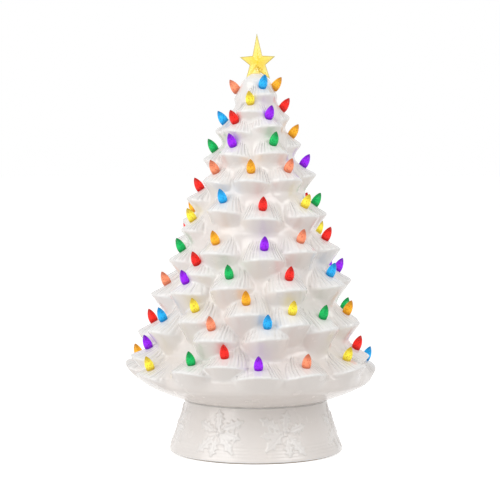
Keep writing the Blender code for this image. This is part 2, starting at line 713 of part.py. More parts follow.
def make_felt_base():
    """A felt disc under the foot and the bottom plate, with windows for the door and the switch."""
    disc = rod_profile(FOOT_RADIUS - FELT_SETBACK, 0, FELT_THICKNESS)
    felt = turned("felt_base", disc, ROUND_SIDES, material("tan_felt", (0.5, 0.33, 0.18), 0.95))
    bm = bmesh.new()
    below = -REACH_THROUGH
    above = FELT_THICKNESS + REACH_THROUGH
    side = BAY_HALF_LENGTH + DOOR_PLAY
    add_box(bm, (-side, BAY_NEAR_Y, below), (side, BAY_FAR_Y + DOOR_PLAY, above))
    side = SWITCH_LENGTH / 2
    low_y = SWITCH_MIDDLE_Y - SWITCH_WIDTH / 2
    add_box(bm, (-side, low_y, below), (side, low_y + SWITCH_WIDTH, above))
    boolean(felt, object_from(bm, "felt_windows"), "DIFFERENCE")


def make_bottom_plate():
    """The plate in the foot, with the battery bay, the hinge ears and the column's socket on it."""
    disc = rod_profile(PLATE_RADIUS, PLATE_BOTTOM, PLATE_TOP)
    plate = turned("bottom_plate", disc, ROUND_SIDES, moulded_white())
    sunk = PLATE_THICKNESS / 2
    outer_side = BAY_HALF_LENGTH + BAY_WALL
    low = (-outer_side, BAY_NEAR_Y - BAY_WALL, PLATE_TOP - sunk)
    high = (outer_side, BAY_FAR_Y + BAY_WALL, BAY_TOP + BAY_WALL)
    boolean(plate, box("bay_outside", low, high), "UNION")
    socket_inner = COLUMN_RADIUS + CLEARANCE
    socket_outer = socket_inner + COLUMN_SOCKET_WALL
    socket_top = PLATE_TOP + COLUMN_SOCKET_HEIGHT
    socket = tube_profile(socket_inner, socket_outer, PLATE_TOP - sunk, socket_top)
    boolean(plate, turned("column_socket", socket, ROUND_SIDES), "UNION")

    bm = bmesh.new()
    low = (-BAY_HALF_LENGTH, BAY_NEAR_Y, PLATE_TOP)
    high = (BAY_HALF_LENGTH, BAY_FAR_Y, BAY_TOP)
    add_box(bm, low, high)
    bay = object_from(bm, "bay_inside")
    boolean(plate, bay, "DIFFERENCE")
    below = PLATE_BOTTOM - REACH_THROUGH
    above = PLATE_TOP + CLEARANCE
    low = (-BAY_HALF_LENGTH, HINGE_Y + HINGE_EAR_HALF_DEPTH, below)
    high = (BAY_HALF_LENGTH, BAY_FAR_Y, above)
    boolean(plate, box("door_opening", low, high), "DIFFERENCE")
    notch_side = KNUCKLE_HALF_LENGTH + CLEARANCE
    low = (-notch_side, BAY_NEAR_Y, below)
    high = (notch_side, HINGE_Y + HINGE_EAR_HALF_DEPTH + REACH_THROUGH, above)
    boolean(plate, box("knuckle_notch", low, high), "DIFFERENCE")
    ear_top = HINGE_Z + HINGE_PIN_RADIUS + CLEARANCE + HINGE_EAR_ROOF
    for name, side in (("left_hinge_ear", -1), ("right_hinge_ear", 1)):
        ends = sorted((side * notch_side, side * (notch_side + HINGE_EAR_WIDTH)))
        low = (ends[0], HINGE_Y - HINGE_EAR_HALF_DEPTH, PLATE_TOP - sunk)
        high = (ends[1], HINGE_Y + HINGE_EAR_HALF_DEPTH, ear_top)
        boolean(plate, box(name, low, high), "UNION")

    bm = bmesh.new()
    pin_end = notch_side + HINGE_EAR_WIDTH
    pin_hole = rod_profile(HINGE_PIN_RADIUS + CLEARANCE, -pin_end, pin_end)
    add_turned(bm, pin_hole, SMALL_SIDES, along_x(0, HINGE_Y, HINGE_Z))
    side = (SLIDER_KNOB_LENGTH + SWITCH_TRAVEL) / 2 + CLEARANCE
    half_width = SLIDER_KNOB_WIDTH / 2 + CLEARANCE
    low = (-side, SWITCH_MIDDLE_Y - half_width, below)
    add_box(bm, low, (side, SWITCH_MIDDLE_Y + half_width, above))
    for x, y in screw_places():
        head = rod_profile(
            SCREW_HEAD_RADIUS + CLEARANCE,
            below,
            PLATE_BOTTOM + SCREW_HEAD_HEIGHT + CLEARANCE,
        )
        shank = rod_profile(SCREW_RADIUS + CLEARANCE, PLATE_BOTTOM, above)
        for profile in (head, shank):
            add_turned(bm, profile, SMALL_SIDES, Matrix.Translation((x, y, 0)))
    boolean(plate, object_from(bm, "plate_holes"), "DIFFERENCE")
    plate.modifiers[-1].use_self = True


def make_screws():
    head_top = PLATE_BOTTOM + SCREW_HEAD_HEIGHT
    profile = [
        (0, PLATE_BOTTOM),
        (SCREW_HEAD_RADIUS, PLATE_BOTTOM),
        (SCREW_HEAD_RADIUS, head_top),
        (SCREW_RADIUS, head_top),
        (SCREW_RADIUS, PLATE_BOTTOM + SCREW_LENGTH),
        (0, PLATE_BOTTOM + SCREW_LENGTH),
    ]
    for number, (x, y) in enumerate(screw_places(), 1):
        screw = turned(f"plate_screw_{number}", profile, SMALL_SIDES, sprung_metal())
        screw.location = (x, y, 0)


def make_battery_door(hinge_frame):
    """The door, modelled round its hinge's axis: a knuckle, a neck and a panel."""
    bm = bmesh.new()
    knuckle = rod_profile(KNUCKLE_RADIUS, -KNUCKLE_HALF_LENGTH, KNUCKLE_HALF_LENGTH)
    add_turned(bm, knuckle, SMALL_SIDES, along_x(0, 0, 0))
    door = object_from(bm, "battery_door", moulded_white())
    bottom = PLATE_BOTTOM - HINGE_Z
    far_y = BAY_FAR_Y - DOOR_PLAY - HINGE_Y
    near_y = PANEL_NEAR_Y - HINGE_Y
    side = BAY_HALF_LENGTH - DOOR_PLAY
    panel = box("door_panel", (-side, near_y, bottom), (side, far_y, bottom + DOOR_THICKNESS))
    neck_side = KNUCKLE_HALF_LENGTH
    low = (-neck_side, 0, bottom)
    neck = box("door_neck", low, (neck_side, near_y + DOOR_THICKNESS, bottom + DOOR_THICKNESS))
    bm = bmesh.new()
    pin_end = KNUCKLE_HALF_LENGTH + REACH_THROUGH
    bore = rod_profile(HINGE_PIN_RADIUS + CLEARANCE, -pin_end, pin_end)
    add_turned(bm, bore, SMALL_SIDES, along_x(0, 0, 0))
    bore = object_from(bm, "door_bore")
    for piece in (door, panel, neck, bore):
        piece.parent = hinge_frame
    boolean(door, neck, "UNION")
    boolean(door, panel, "UNION")
    boolean(door, bore, "DIFFERENCE")
    bm = bmesh.new()
    pin_end = KNUCKLE_HALF_LENGTH + CLEARANCE + HINGE_EAR_WIDTH
    pin = rod_profile(HINGE_PIN_RADIUS, -pin_end, pin_end)
    add_turned(bm, pin, SMALL_SIDES, along_x(0, HINGE_Y, HINGE_Z))
    object_from(bm, "door_hinge_pin", sprung_metal())


def cell_y(number):
    return BAY_NEAR_Y + HINGE_ROOM + (number + 0.5) * CELL_PITCH


def make_cells():
    button_start = CELL_LENGTH - CELLS_LENGTH / 2
    profile = [
        (0, -CELLS_LENGTH / 2),
        (CELL_RADIUS, -CELLS_LENGTH / 2),
        (CELL_RADIUS, button_start),
        (CELL_BUTTON_RADIUS, button_start),
        (CELL_BUTTON_RADIUS, CELLS_LENGTH / 2),
        (0, CELLS_LENGTH / 2),
    ]
    for number in range(CELL_COUNT):
        bm = bmesh.new()
        add_turned(bm, profile, SMALL_SIDES)
        label = material("battery_label", (0.06, 0.06, 0.065), 0.35)
        cell = object_from(bm, f"aa_cell_{number + 1}", label, smooth_angle=math.radians(35))
        cell.location = (0, cell_y(number), CELL_Z)
        cell.rotation_euler = (0, math.pi / 2 * (-1) ** number, 0)


def make_contact(name, side, first_cell, last_cell):
    """A sprung plate at one end of the bay, from the first to the last cell that it touches."""
    ends = sorted((side * CONTACT_INNER_X, side * (CONTACT_INNER_X + CONTACT_THICKNESS)))
    low_y = cell_y(first_cell) - CONTACT_HALF_WIDTH
    high_y = cell_y(last_cell) + CONTACT_HALF_WIDTH
    low = (ends[0], low_y, CELL_Z - CONTACT_HALF_WIDTH)
    high = (ends[1], high_y, CELL_Z + CONTACT_HALF_WIDTH)
    box(name, low, high, sprung_metal())


def make_contacts():
    """The cells are in series: each pair shares a contact, and the ends have one terminal each."""
    make_contact("terminal_positive", 1, 0, 0)
    make_contact("contact_pair_left", -1, 0, 1)
    make_contact("contact_pair_right", 1, 1, 2)
    make_contact("terminal_negative", -1, 2, 2)


def make_switch(slider_frame):
    """A three-place slide switch: a housing over the plate's slot, and the slider in it."""
    bottom = PLATE_TOP + CLEARANCE
    side = SWITCH_LENGTH / 2
    low_y = SWITCH_MIDDLE_Y - SWITCH_WIDTH / 2
    low = (-side, low_y, bottom)
    high = (side, low_y + SWITCH_WIDTH, bottom + SWITCH_HEIGHT)
    black = material("black_plastic", (0.02, 0.02, 0.02), 0.4)
    housing = box("switch_housing", low, high, black)
    low = (-side + SWITCH_WALL, low_y + SWITCH_WALL, bottom - REACH_THROUGH)
    inner_y = low_y + SWITCH_WIDTH - SWITCH_WALL
    high = (side - SWITCH_WALL, inner_y, bottom + SWITCH_HEIGHT - SWITCH_WALL)
    boolean(housing, box("switch_inside", low, high), "DIFFERENCE")

    half_length = SLIDER_KNOB_LENGTH / 2
    half_width = SLIDER_KNOB_WIDTH / 2
    low = (-half_length, -half_width, -PLATE_THICKNESS - SLIDER_KNOB_PROUD)
    high = (half_length, half_width, CLEARANCE + SLIDER_FLANGE_THICKNESS / 2)
    slider = box("switch_slider", low, high, black)
    low = (-half_length - SLIDER_FLANGE_WIDTH, -half_width - SLIDER_FLANGE_WIDTH, CLEARANCE)
    high = (-low[0], -low[1], CLEARANCE + SLIDER_FLANGE_THICKNESS)
    flange = box("slider_flange", low, high)
    for piece in (slider, flange):
        piece.parent = slider_frame
    boolean(slider, flange, "UNION")


def make_light_column():
    """A frosted tube with a rounded closed top, in the plate's socket, round the board and LEDs."""
    bottom = PLATE_TOP + CLEARANCE
    shoulder = COLUMN_TOP - COLUMN_ROUNDING
    profile = [
        (0, COLUMN_TOP - COLUMN_WALL),
        (COLUMN_BORE_RADIUS - COLUMN_ROUNDING, COLUMN_TOP - COLUMN_WALL),
        (COLUMN_BORE_RADIUS, shoulder),
        (COLUMN_BORE_RADIUS, bottom),
        (COLUMN_RADIUS, bottom),
        (COLUMN_RADIUS, shoulder),
        (COLUMN_RADIUS - COLUMN_ROUNDING, COLUMN_TOP),
        (0, COLUMN_TOP),
    ]
    frosted = material("frosted_plastic", (0.85, 0.85, 0.83), 0.5, transmission=0.7)
    turned("light_column", profile, SMALL_SIDES, frosted)
    board = rod_profile(COLUMN_BORE_RADIUS - 2 * CLEARANCE, bottom, BOARD_TOP)
    green_board = material("green_circuit_board", (0.02, 0.16, 0.06), 0.4)
    turned("circuit_board", board, SMALL_SIDES, green_board)
    half_width = LED_STRIP_WIDTH / 2
    low = (-half_width, -LED_STRIP_THICKNESS / 2, BOARD_TOP + CLEARANCE)
    high = (half_width, LED_STRIP_THICKNESS / 2, COLUMN_TOP - LED_STRIP_TOP_GAP)
    box("led_strip", low, high, material("white_led_strip", (0.85, 0.82, 0.7), 0.4))


def new_frame(name, place):
    """An empty on a joint's axis, which carries what moves with that joint."""
    frame = bpy.data.objects.new(name, None)
    frame.location = place
    bpy.context.scene.collection.objects.link(frame)
    bpy.context.view_layer.update()
    return frame


def main():
    clear_scene()
    tree_frame = new_frame("tree_frame", (0, 0, TREE_BOTTOM))
    tree = make_tree_body()
    tree.parent = tree_frame
    tree.matrix_parent_inverse = tree_frame.matrix_world.inverted()
    make_bulbs(tree_frame)
    make_star(new_frame("star_frame", (0, 0, TREE_TOP)))
    make_seat_ring()
    make_pedestal()
    make_felt_base()
    make_bottom_plate()
    make_screws()
    make_battery_door(new_frame("door_hinge_frame", (0, HINGE_Y, HINGE_Z)))
    make_cells()
    make_contacts()
    slider_place = (-SWITCH_TRAVEL / 2, SWITCH_MIDDLE_Y, PLATE_TOP)
    make_switch(new_frame("slider_frame", slider_place))
    make_light_column()


main()
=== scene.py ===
"""Ceramic Christmas tree: glazed boughs, lit bulbs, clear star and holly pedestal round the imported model.

Lengths are metres. A bearing turns from the front (-Y) towards the right (+X), and a tree height is
measured from the tree's foot ring.
"""

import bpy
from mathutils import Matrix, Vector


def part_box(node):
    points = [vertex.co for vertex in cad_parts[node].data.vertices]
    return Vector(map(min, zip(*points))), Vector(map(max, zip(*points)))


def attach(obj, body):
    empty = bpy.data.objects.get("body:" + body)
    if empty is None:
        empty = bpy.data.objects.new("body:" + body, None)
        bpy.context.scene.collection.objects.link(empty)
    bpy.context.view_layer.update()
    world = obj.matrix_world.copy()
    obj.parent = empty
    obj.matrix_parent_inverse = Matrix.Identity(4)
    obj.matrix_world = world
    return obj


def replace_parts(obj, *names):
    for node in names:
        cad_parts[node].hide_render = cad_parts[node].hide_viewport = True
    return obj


bl_info = {
    "name": "Ceramic Christmas Tree",
    "version": (1, 0, 0),
    "blender": (4, 5, 0),
    "location": "3D View > Sidebar > Ceramic Tree",
    "description": "Builds a glazed ceramic tree with lit bulbs, a clear star and a holly pedestal",
    "category": "Add Mesh",
}

import math
from collections import namedtuple

import bmesh
import bpy
import numpy as np
from bpy.props import FloatProperty, FloatVectorProperty, IntProperty, PointerProperty
from mathutils import Matrix, Vector

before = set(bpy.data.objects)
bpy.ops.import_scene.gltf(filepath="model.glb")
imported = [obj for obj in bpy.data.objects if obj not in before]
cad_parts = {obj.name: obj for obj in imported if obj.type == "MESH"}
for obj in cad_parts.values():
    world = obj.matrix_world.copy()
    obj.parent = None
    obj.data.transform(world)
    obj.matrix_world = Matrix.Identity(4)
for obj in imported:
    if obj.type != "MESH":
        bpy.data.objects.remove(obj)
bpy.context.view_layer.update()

MM = 0.001
FULL_TURN = math.tau
SCATTER_STEPS = (12.9898, 78.233)
SCATTER_SPREAD = 43758.5453

# Where the model stands
TREE_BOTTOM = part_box("tree_body")[0].z
TREE_HEIGHT = 470 * MM
TREE_TOP = TREE_BOTTOM + TREE_HEIGHT

# The tree's main lines
FOOT_RING_OUTSIDE = 104 * MM
FOOT_RING_INSIDE = 90 * MM
FOOT_RING_ROUNDING = 0.3 * MM
MOUTH_HEIGHT = 16.5 * MM
WALL = 5.5 * MM
BOWL_SPREAD = 3.05
BOWL_TURN_HEIGHT = 58 * MM
TIP_RADIUS_LOW = 205.6 * MM
TIP_RADIUS_HIGH = 27.5 * MM
TRUNK_RADIUS_LOW = 158.3 * MM
TRUNK_RADIUS_HIGH = 15 * MM
SKIRT_RADIUS = 166.6 * MM
SKIRT_HEIGHT = 42 * MM
SKIRT_SLOPE = 1.1
DOME_HEIGHT = 15 * MM
STAR_SEAT_RADIUS = 7.5 * MM
STAR_HOLE_RADIUS = 4.3 * MM
STAR_HOLE_ROUNDING = 0.6 * MM
ROOF_RING_SHARE = 0.6

# A bough, at the size of the lowest row. It is a fan that falls from its apex to its rim, and its
# corners hang lower than its middle. Higher boughs are scaled down, and the lowest drop less and flare
# more, which fades between the two shares of the tree's height
RIM_DROP = 20 * MM
APEX_RISE = 16 * MM
HALF_WIDTH = 45 * MM
CORNER_DROOP = 7.5 * MM
SLANT = 3 * MM
SLANT_CYCLES = 7
DROOP_REACH = 1.3
LIP = 3.6 * MM
UNDERSIDE_SLOPE = 0.76
BLEND = 3 * MM
SQUARENESS = 2.35
APEX_WIDTH = 0.55
FANNING = 0.8
HOLLOWNESS_LOW = 1.2
HOLLOWNESS_HIGH = 2.2
LOW_RIM_SCALE = 0.7
LOW_RIM_FADE = (0.13, 0.25)
LOW_FLARE = 1
TOP_SCALE = 0.6
TOP_RIM_SCALE = 0.82
TOP_WIDTH_SCALE = 0.9
NARROWING = 1.8
FAR_ASIDE = 3

# How finely the skin is laid out before it is thinned, and how far round a point the wall is measured
SKIN_COLUMNS = 840
SKIN_ROWS = 400
LINING_STEP = 4
LINING_ARC = math.radians(30)
SKIN_TRIANGLES = 196000

# Needle grooves, pressed into the boughs. A pair is where a fade starts and ends, on the way down a
# bough, which is 1 at its rim, or on the way out from its middle line, which is 1 at its corners
GROOVE_PITCH = 5.8 * MM
GROOVE_SHARPNESS = 0.31
GROOVE_SWAY = 0.35
GROOVE_SWAY_CYCLES = 5
GROOVE_FAINTEST = 0.35
GROOVE_MIDDLE = 0.5
GROOVE_STARTS = (0.12, 0.5)
GROOVE_RUN_IN = 0.2
GROOVE_END = (0.93, 1.06)
GROOVE_FLANK = (0.12, 0.5)
GROOVE_SIDE = (0.85, 1.1)
GROOVE_MARGIN = (1 * MM, 5 * MM)
BULB_PATCH_DOWN = 0.67
BULB_PATCH_WIDTH = 0.3
BULB_PATCH_LENGTH = 0.2
WAVE_LENGTH = 11 * MM
WAVE_ABOVE_RIM = (0.6, 0.95)
WAVE_BELOW_RIM = (1, 1.25)
LUMP_DEPTH = 0.5 * MM
LUMPS_ACROSS = 3.1
LUMPS_DOWN = 4
LUMP_SHIFT = 2.3

# Painted shade, partly standing for glaze that pools: the glaze is made creamier and darker in hollows,
# under rims, in the bowl and in the needle grooves, but not on the dome
POOL_AND_SHADE_STRENGTH = 0.75
POOL_AND_SHADE_UNDER = 0.8
POOL_AND_SHADE_OVERHANG = (0.1, 0.6)
BOWL_FADE = 6 * MM
DOME_FADE_START = 35 * MM
DOME_FADE_END = 12 * MM
CLOUD_STRENGTH = 0.2
# The needle grooves' painted shade: its strength, its half width and the tone it darkens the glaze to
GROOVE_SHADE = 0.45
GROOVE_HALF_WIDTH = 0.3
GROOVE_SHADE_TONE = (0.86, 0.84, 0.82)
GROOVE_PRESSED = -1 * MM
RIPPLE_DEPTH = 0.35 * MM
FINE_RIPPLE_SHARE = 0.12
BARE_ROUGHNESS = 0.6

# Bulbs
PEG_RADIUS = 3.5 * MM
PEG_LENGTH = 9 * MM
BULB_BASE_RADIUS = 5.4 * MM
BULB_RADIUS = 6.5 * MM
BULB_WIDEST = 4.5 * MM
BULB_LENGTH = 20.5 * MM
BULB_SINK = 1.5 * MM
BULB_SEAT_DROP = 6.2 * MM
TILT_LOW = math.radians(22)
TILT_HIGH = math.radians(34)
BULB_BASE_STEPS = (0, 0.35, 0.7, 1)
BULB_TIP_STEPS = (0.14, 0.28, 0.42, 0.56, 0.7, 0.82, 0.91, 0.97)
BULB_TIP_FULLNESS = 1.9
BULB_TIP_POINT = 0.8
BULB_CORE_DROP = 0.8
# Painted light on the bulbs: their base and tip are painted darker, as shade, and their middle lighter, as
# glow from the lamp inside
BULB_PAINTED_SHADE = 0.5
BULB_MIDDLE = 0.65
BULB_PAINTED_GLOW = 1.4
BULB_PAINTED_GLOW_LIFT = 0.008
SEPARATE_BULB_BEARING = 78

# The boughs that show from the front: bearing in degrees, height of the bulb's middle as a
# percentage of the tree's height, reach beyond the line of the tips in millimetres, bulb colour.
# Those nearer the front than the mirrored bearing come again at the back, with shifted colours
Bough = namedtuple("Bough", "bearing height reach colour")
FRONT_BOUGHS = (
    (19, 97.2, 0, "blue"),
    (85, 96.7, -10, "orange"),
    (-88, 95.9, -10.5, "salmon"),
    (-13, 92.2, 0, "yellow"),
    (90, 90.3, -3, "red"),
    (25, 87.8, 0, "purple"),
    (-42, 86.4, 0, "red"),
    (-90, 86.3, 0, "blue"),
    (88, 82.2, -1, "orange"),
    (26, 79.8, 0, "green"),
    (-36, 79.3, 0, "purple"),
    (-90, 77.7, 2, "green"),
    (90, 73.0, 4, "purple"),
    (41, 71.7, 0, "salmon"),
    (-6, 71.5, 0, "orange"),
    (-56, 71.2, 0, "salmon"),
    (-90, 65.7, 4, "red"),
    (-34, 62.6, 0, "blue"),
    (97, 61, -1, "green"),
    (53, 60.9, 0, "yellow"),
    (6, 60.4, 0, "red"),
    (-100, 58.9, 0, "orange"),
    (-79, 56.4, -3, "yellow"),
    (-108, 52.6, 4, "red"),
    (114, 52, -5, "yellow"),
    (72, 50.8, 2, "red"),
    (37, 50.6, 0, "salmon"),
    (-33, 50.2, 0, "orange"),
    (6, 48.7, 0, "purple"),
    (-81, 47.2, -3, "green"),
    (-48, 43.8, -5, "red"),
    (98, 40.6, -1, "purple"),
    (-110, 41.1, 0, "blue"),
    (-18, 40.4, 0, "green"),
    (60, 40.2, 0, "blue"),
    (22, 39.9, 0, "red"),
    (-51, 38.3, 5, "purple"),
    (-90, 36.6, 4, "salmon"),
    (-6, 33.0, 0, "orange"),
    (-38, 30.4, 0, "yellow"),
    (112, 27.6, -4, "green"),
    (21, 30, 0, "yellow"),
    (70, 28.5, -7, "orange"),
    (41, 28.3, 0, "green"),
    (-66, 26.6, 0, "blue"),
    (6, 26.2, 0, "blue"),
    (-25, 25.5, 0, "salmon"),
    (-90, 25, 3, "red"),
    (70, 17.9, -11, "red"),
    (-75, 17.8, 4, "purple"),
    (-16, 17.6, 0, "red"),
    (53, 15.5, 0, "yellow"),
    (-34, 15.1, 0, "green"),
    (25, 14.7, 0, "salmon"),
    (-95, 13.8, 11, "orange"),
    (1, 14.4, 0, "purple"),
    (90, 13.3, -15, "blue"),
    (-61, 12.3, 0, "yellow"),
)
MIRRORED_BEARING = 65
# Boughs without a bulb, where the mirrored ones leave the back bare
PLAIN_BOUGHS = (
    (244, 19.5, -4, None),
    (251, 27.5, -7, None),
)
BULB_ORDER = ("red", "blue", "green", "purple", "orange", "yellow", "salmon")
COLOUR_SHIFT = 2

# Star
STAR_TOP_POINT = 42 * MM
STAR_SIDE_POINT = 27 * MM
STAR_LOWER_POINT = 30 * MM
STAR_NOTCH = 12 * MM
STAR_THICKNESS = 11 * MM
STAR_EDGE = 2.4 * MM
STAR_CENTRE = 16.3 * MM
STAR_SHIFT = 2.2 * MM
STAR_ROLL = math.radians(1.4)
STAR_PEG_RADIUS = 4 * MM
STAR_PEG_LENGTH = 15 * MM
STAR_SHOULDER = 6.5 * MM
STAR_STEM_RADIUS = 2.8 * MM
STAR_STEM_SIDES = 32
STAR_STEM_WAIST = 0.6
STAR_PEG_EDGE = 0.6 * MM
STAR_SHOULDER_BOTTOM = 0.3 * MM
STAR_SHOULDER_TOP = 0.8 * MM
STAR_SHOULDER_EDGE = 0.3 * MM
STAR_SMOOTH_DEGREES = 12
STAR_AMBER_ASIDE = 2 * MM
STAR_AMBER_DROP = 9 * MM
STAR_AMBER_FADE = (4 * MM, 9 * MM)
STAR_PALE_SHARES = (0.4, 0.42, 0.24)
# A darker band along the star's outline is painted shade
STAR_EDGE_SHADE_FADE = (0.3 * MM, 2.2 * MM)
STAR_EDGE_SHADE_STRENGTH = 0.75
STAR_EDGE_SHADE_COLOUR = (0.4, 0.35, 0.06)
STAR_AMBER = (0.6, 0.38, 0.002)

# Pedestal
PEDESTAL_FOOT = 1.5 * MM
PEDESTAL_HEIGHT = 73.5 * MM
NECK_RADIUS = 103.6 * MM
FOOT_RADIUS = 126 * MM
FOOT_ROUNDING = 2.4 * MM
FOOT_ARC_DEGREES = (20, 40, 60, 80)
FOOT_INSIDE = 109.5 * MM
FLARE = 1.25
NECK_ROUNDING = 0.3 * MM
NECK_ARC_SHARE = 0.35
PEDESTAL_WALL = 6 * MM
PLATE_LEDGE = 6 * MM
PLATE_LEDGE_FILLET = 4 * MM
COLLAR_OUTSIDE = 89.2 * MM
COLLAR_INSIDE = 84.2 * MM
COLLAR_HEIGHT = 8 * MM
COLLAR_EDGE = 1 * MM
COLLAR_FILLET = 0.8 * MM
COLLAR_ROOT = 2 * MM
SEAT_RING_OUTSIDE = 103.4 * MM
SEAT_RING_EDGE = 0.2 * MM
SEAT_RING_GAP = 0.3 * MM
SEAT_RING_SIDES = 256
PEDESTAL_COLUMNS = 760
PEDESTAL_LEVELS = 76
PEDESTAL_INSIDE_LEVELS = 12
FOOT_RIB_PITCH = 4.4 * MM
FOOT_RIB_TOP = 24 * MM
FOOT_RIB_FADE = 4 * MM
FOOT_RIB_DEPTH = 0.3 * MM
# Painted shade, partly glaze that pools, on the pedestal's plain wall, and less of it on the raised holly
PEDESTAL_POOL_AND_SHADE = 0.7
PEDESTAL_POOL_AND_SHADE_ON_HOLLY = 0.4

# Holly in relief round the pedestal. A leaf is (sideways, up, direction in degrees, length), with
# its stalk's place and its length in millimetres, and a berry is (sideways, up)
HOLLY_BEARINGS = (-28, 21, 76, 126, 176, 226, 278)
HOLLY_HEIGHT = 38 * MM
HOLLY_LEAVES = (
    (-6, 12, -50, 52),
    (-5, -3, 222, 36),
    (-6, 3, 158, 29),
    (5, 6, 22, 33),
    (0, 6, 96, 27),
    (-2, -6, -100, 26),
    (7, 1, -14, 28),
)
HOLLY_LEAN = 0.18
HOLLY_LEAN_CYCLE = 2.4
HOLLY_LEAF_WIDTH = 10 * MM
HOLLY_LEAF_DEPTH = 1.5 * MM
HOLLY_LEAF_EDGE = 1.8 * MM
HOLLY_LEAF_FULLNESS = 0.6
HOLLY_LEAF_DOMING = 0.3
HOLLY_SPINES = 4
HOLLY_SPINE_WAIST = 0.52
HOLLY_SPINE_SHARPNESS = 1.7
HOLLY_MIDRIB_DEPTH = 0.4
HOLLY_MIDRIB_WIDTH = 0.9 * MM
HOLLY_VEINS = 8
HOLLY_VEIN_DEPTH = 0.16
HOLLY_VEIN_SLANT = 6 * MM
HOLLY_CLEAR_EDGE = 0.6 * MM
HOLLY_BERRIES = ((0, 0), (6, 3.5), (-4.5, 5))
HOLLY_BERRY_RADIUS = 3.4 * MM
HOLLY_BERRY_SHARE = 0.95

# Light column and the strip in it
COLUMN_RADIUS = 16 * MM
COLUMN_BOTTOM = 4.3 * MM
COLUMN_TOP = 320 * MM
COLUMN_WALL = 1.5 * MM
COLUMN_ROUNDING = 5 * MM
COLUMN_ARC_DEGREES = (0, 15, 30, 45, 60, 75, 90)
COLUMN_SIDES = 72
STRIP_EDGE = 0.2 * MM
LED_PITCH = 16.6 * MM
LED_SIZE = 5 * MM
LED_PROUD = 0.8 * MM
LED_EDGE = 0.4 * MM

# Colours of the small parts, and how far from a cell's middle its copper band starts
SILICONE = (0.88, 0.86, 0.84)
WHITE_PLASTIC = (0.8, 0.8, 0.78)
BLACK_PLASTIC = (0.02, 0.02, 0.02)
FROSTED_PLASTIC = (0.9, 0.9, 0.88)
STRIP_FILM = (0.85, 0.85, 0.8)
LAMP_GEL = (1, 0.86, 0.5)
NICKEL = (0.6, 0.58, 0.55)
CELL_BLACK = (0.03, 0.03, 0.035)
CELL_GREY = (0.05, 0.05, 0.055)
CELL_COPPER = (0.36, 0.17, 0.07)
CELL_BAND = (13 * MM, 13.3 * MM)
MASK_GREEN = (0.015, 0.16, 0.06)
MASK_LIGHT_GREEN = (0.02, 0.2, 0.08)
TRACK_GREEN = (0.05, 0.32, 0.13)

# The part of its range that noise mostly fills
NOISE_SPREAD = (0.3, 0.7)

# Stage and camera
FLOOR_SIZE = 60
FLOOR_TONE = (0.82, 0.81, 0.8, 1)
WHITE = (1, 1, 1, 1)
CAMERA_PLACE = (-0.0087, -2.5, 0.43)
CAMERA_AIM = (-0.0087, 0, 0.292)
CAMERA_LENS = 124.2
KEY_PLACE = (-1.6, -1.15, 1.4)
KEY_SIZE = 2
KEY_AIM = (0, 0, 0.25)
FILL_PLACE = (1.35, -1, 1.45)
FILL_SIZE = 1.2
FILL_AIM = (0, 0, 0.3)


def smooth_max(a, b, blend):
    return np.maximum(a, b) + blend * np.log1p(np.exp(-np.abs(a - b) / blend))


def smooth_min(a, b, blend):
    return -smooth_max(-a, -b, blend)


def between(low, high, share):
    return low + (high - low) * share


def eased(low, high, value):
    """0 below low and 1 above high, with a soft start and end."""
    share = np.clip((value - low) / (high - low), 0, 1)
    return share * share * (3 - 2 * share)


def scattered(number, seed):
    """A share from 0 to 1 that looks random, and is the same for the same number."""
    step, seed_step = SCATTER_STEPS
    return np.abs(np.sin(number * step + seed * seed_step) * SCATTER_SPREAD) % 1


def all_boughs():
    """The front boughs, their mirror images at the back, whose colours move on, and the plain ones."""
    front = [Bough(*row) for row in FRONT_BOUGHS]
    back = []
    for bough in front:
        if abs(bough.bearing) < MIRRORED_BEARING:
            place = (BULB_ORDER.index(bough.colour) + COLOUR_SHIFT) % len(BULB_ORDER)
            back.append(bough._replace(bearing=180 - bough.bearing, colour=BULB_ORDER[place]))
    return front + back + [Bough(*row) for row in PLAIN_BOUGHS]


def bulb_height(bough):
    return bough.height / 100 * TREE_HEIGHT


def share_up(bough):
    """0 at the lowest row of boughs and 1 at the highest."""
    heights = [Bough(*row).height for row in FRONT_BOUGHS]
    return (bough.height - min(heights)) / (max(heights) - min(heights))


def half_width_of(bough):
    return HALF_WIDTH * between(1, TOP_WIDTH_SCALE, share_up(bough) ** NARROWING)


def trunk_radius(height):
    """How far the hollows between the boughs are from the axis."""
    trunk = between(TRUNK_RADIUS_LOW, TRUNK_RADIUS_HIGH, height / TREE_HEIGHT)
    skirt = SKIRT_RADIUS - SKIRT_SLOPE * np.maximum(height - SKIRT_HEIGHT, 0)
    return np.maximum(trunk, skirt)


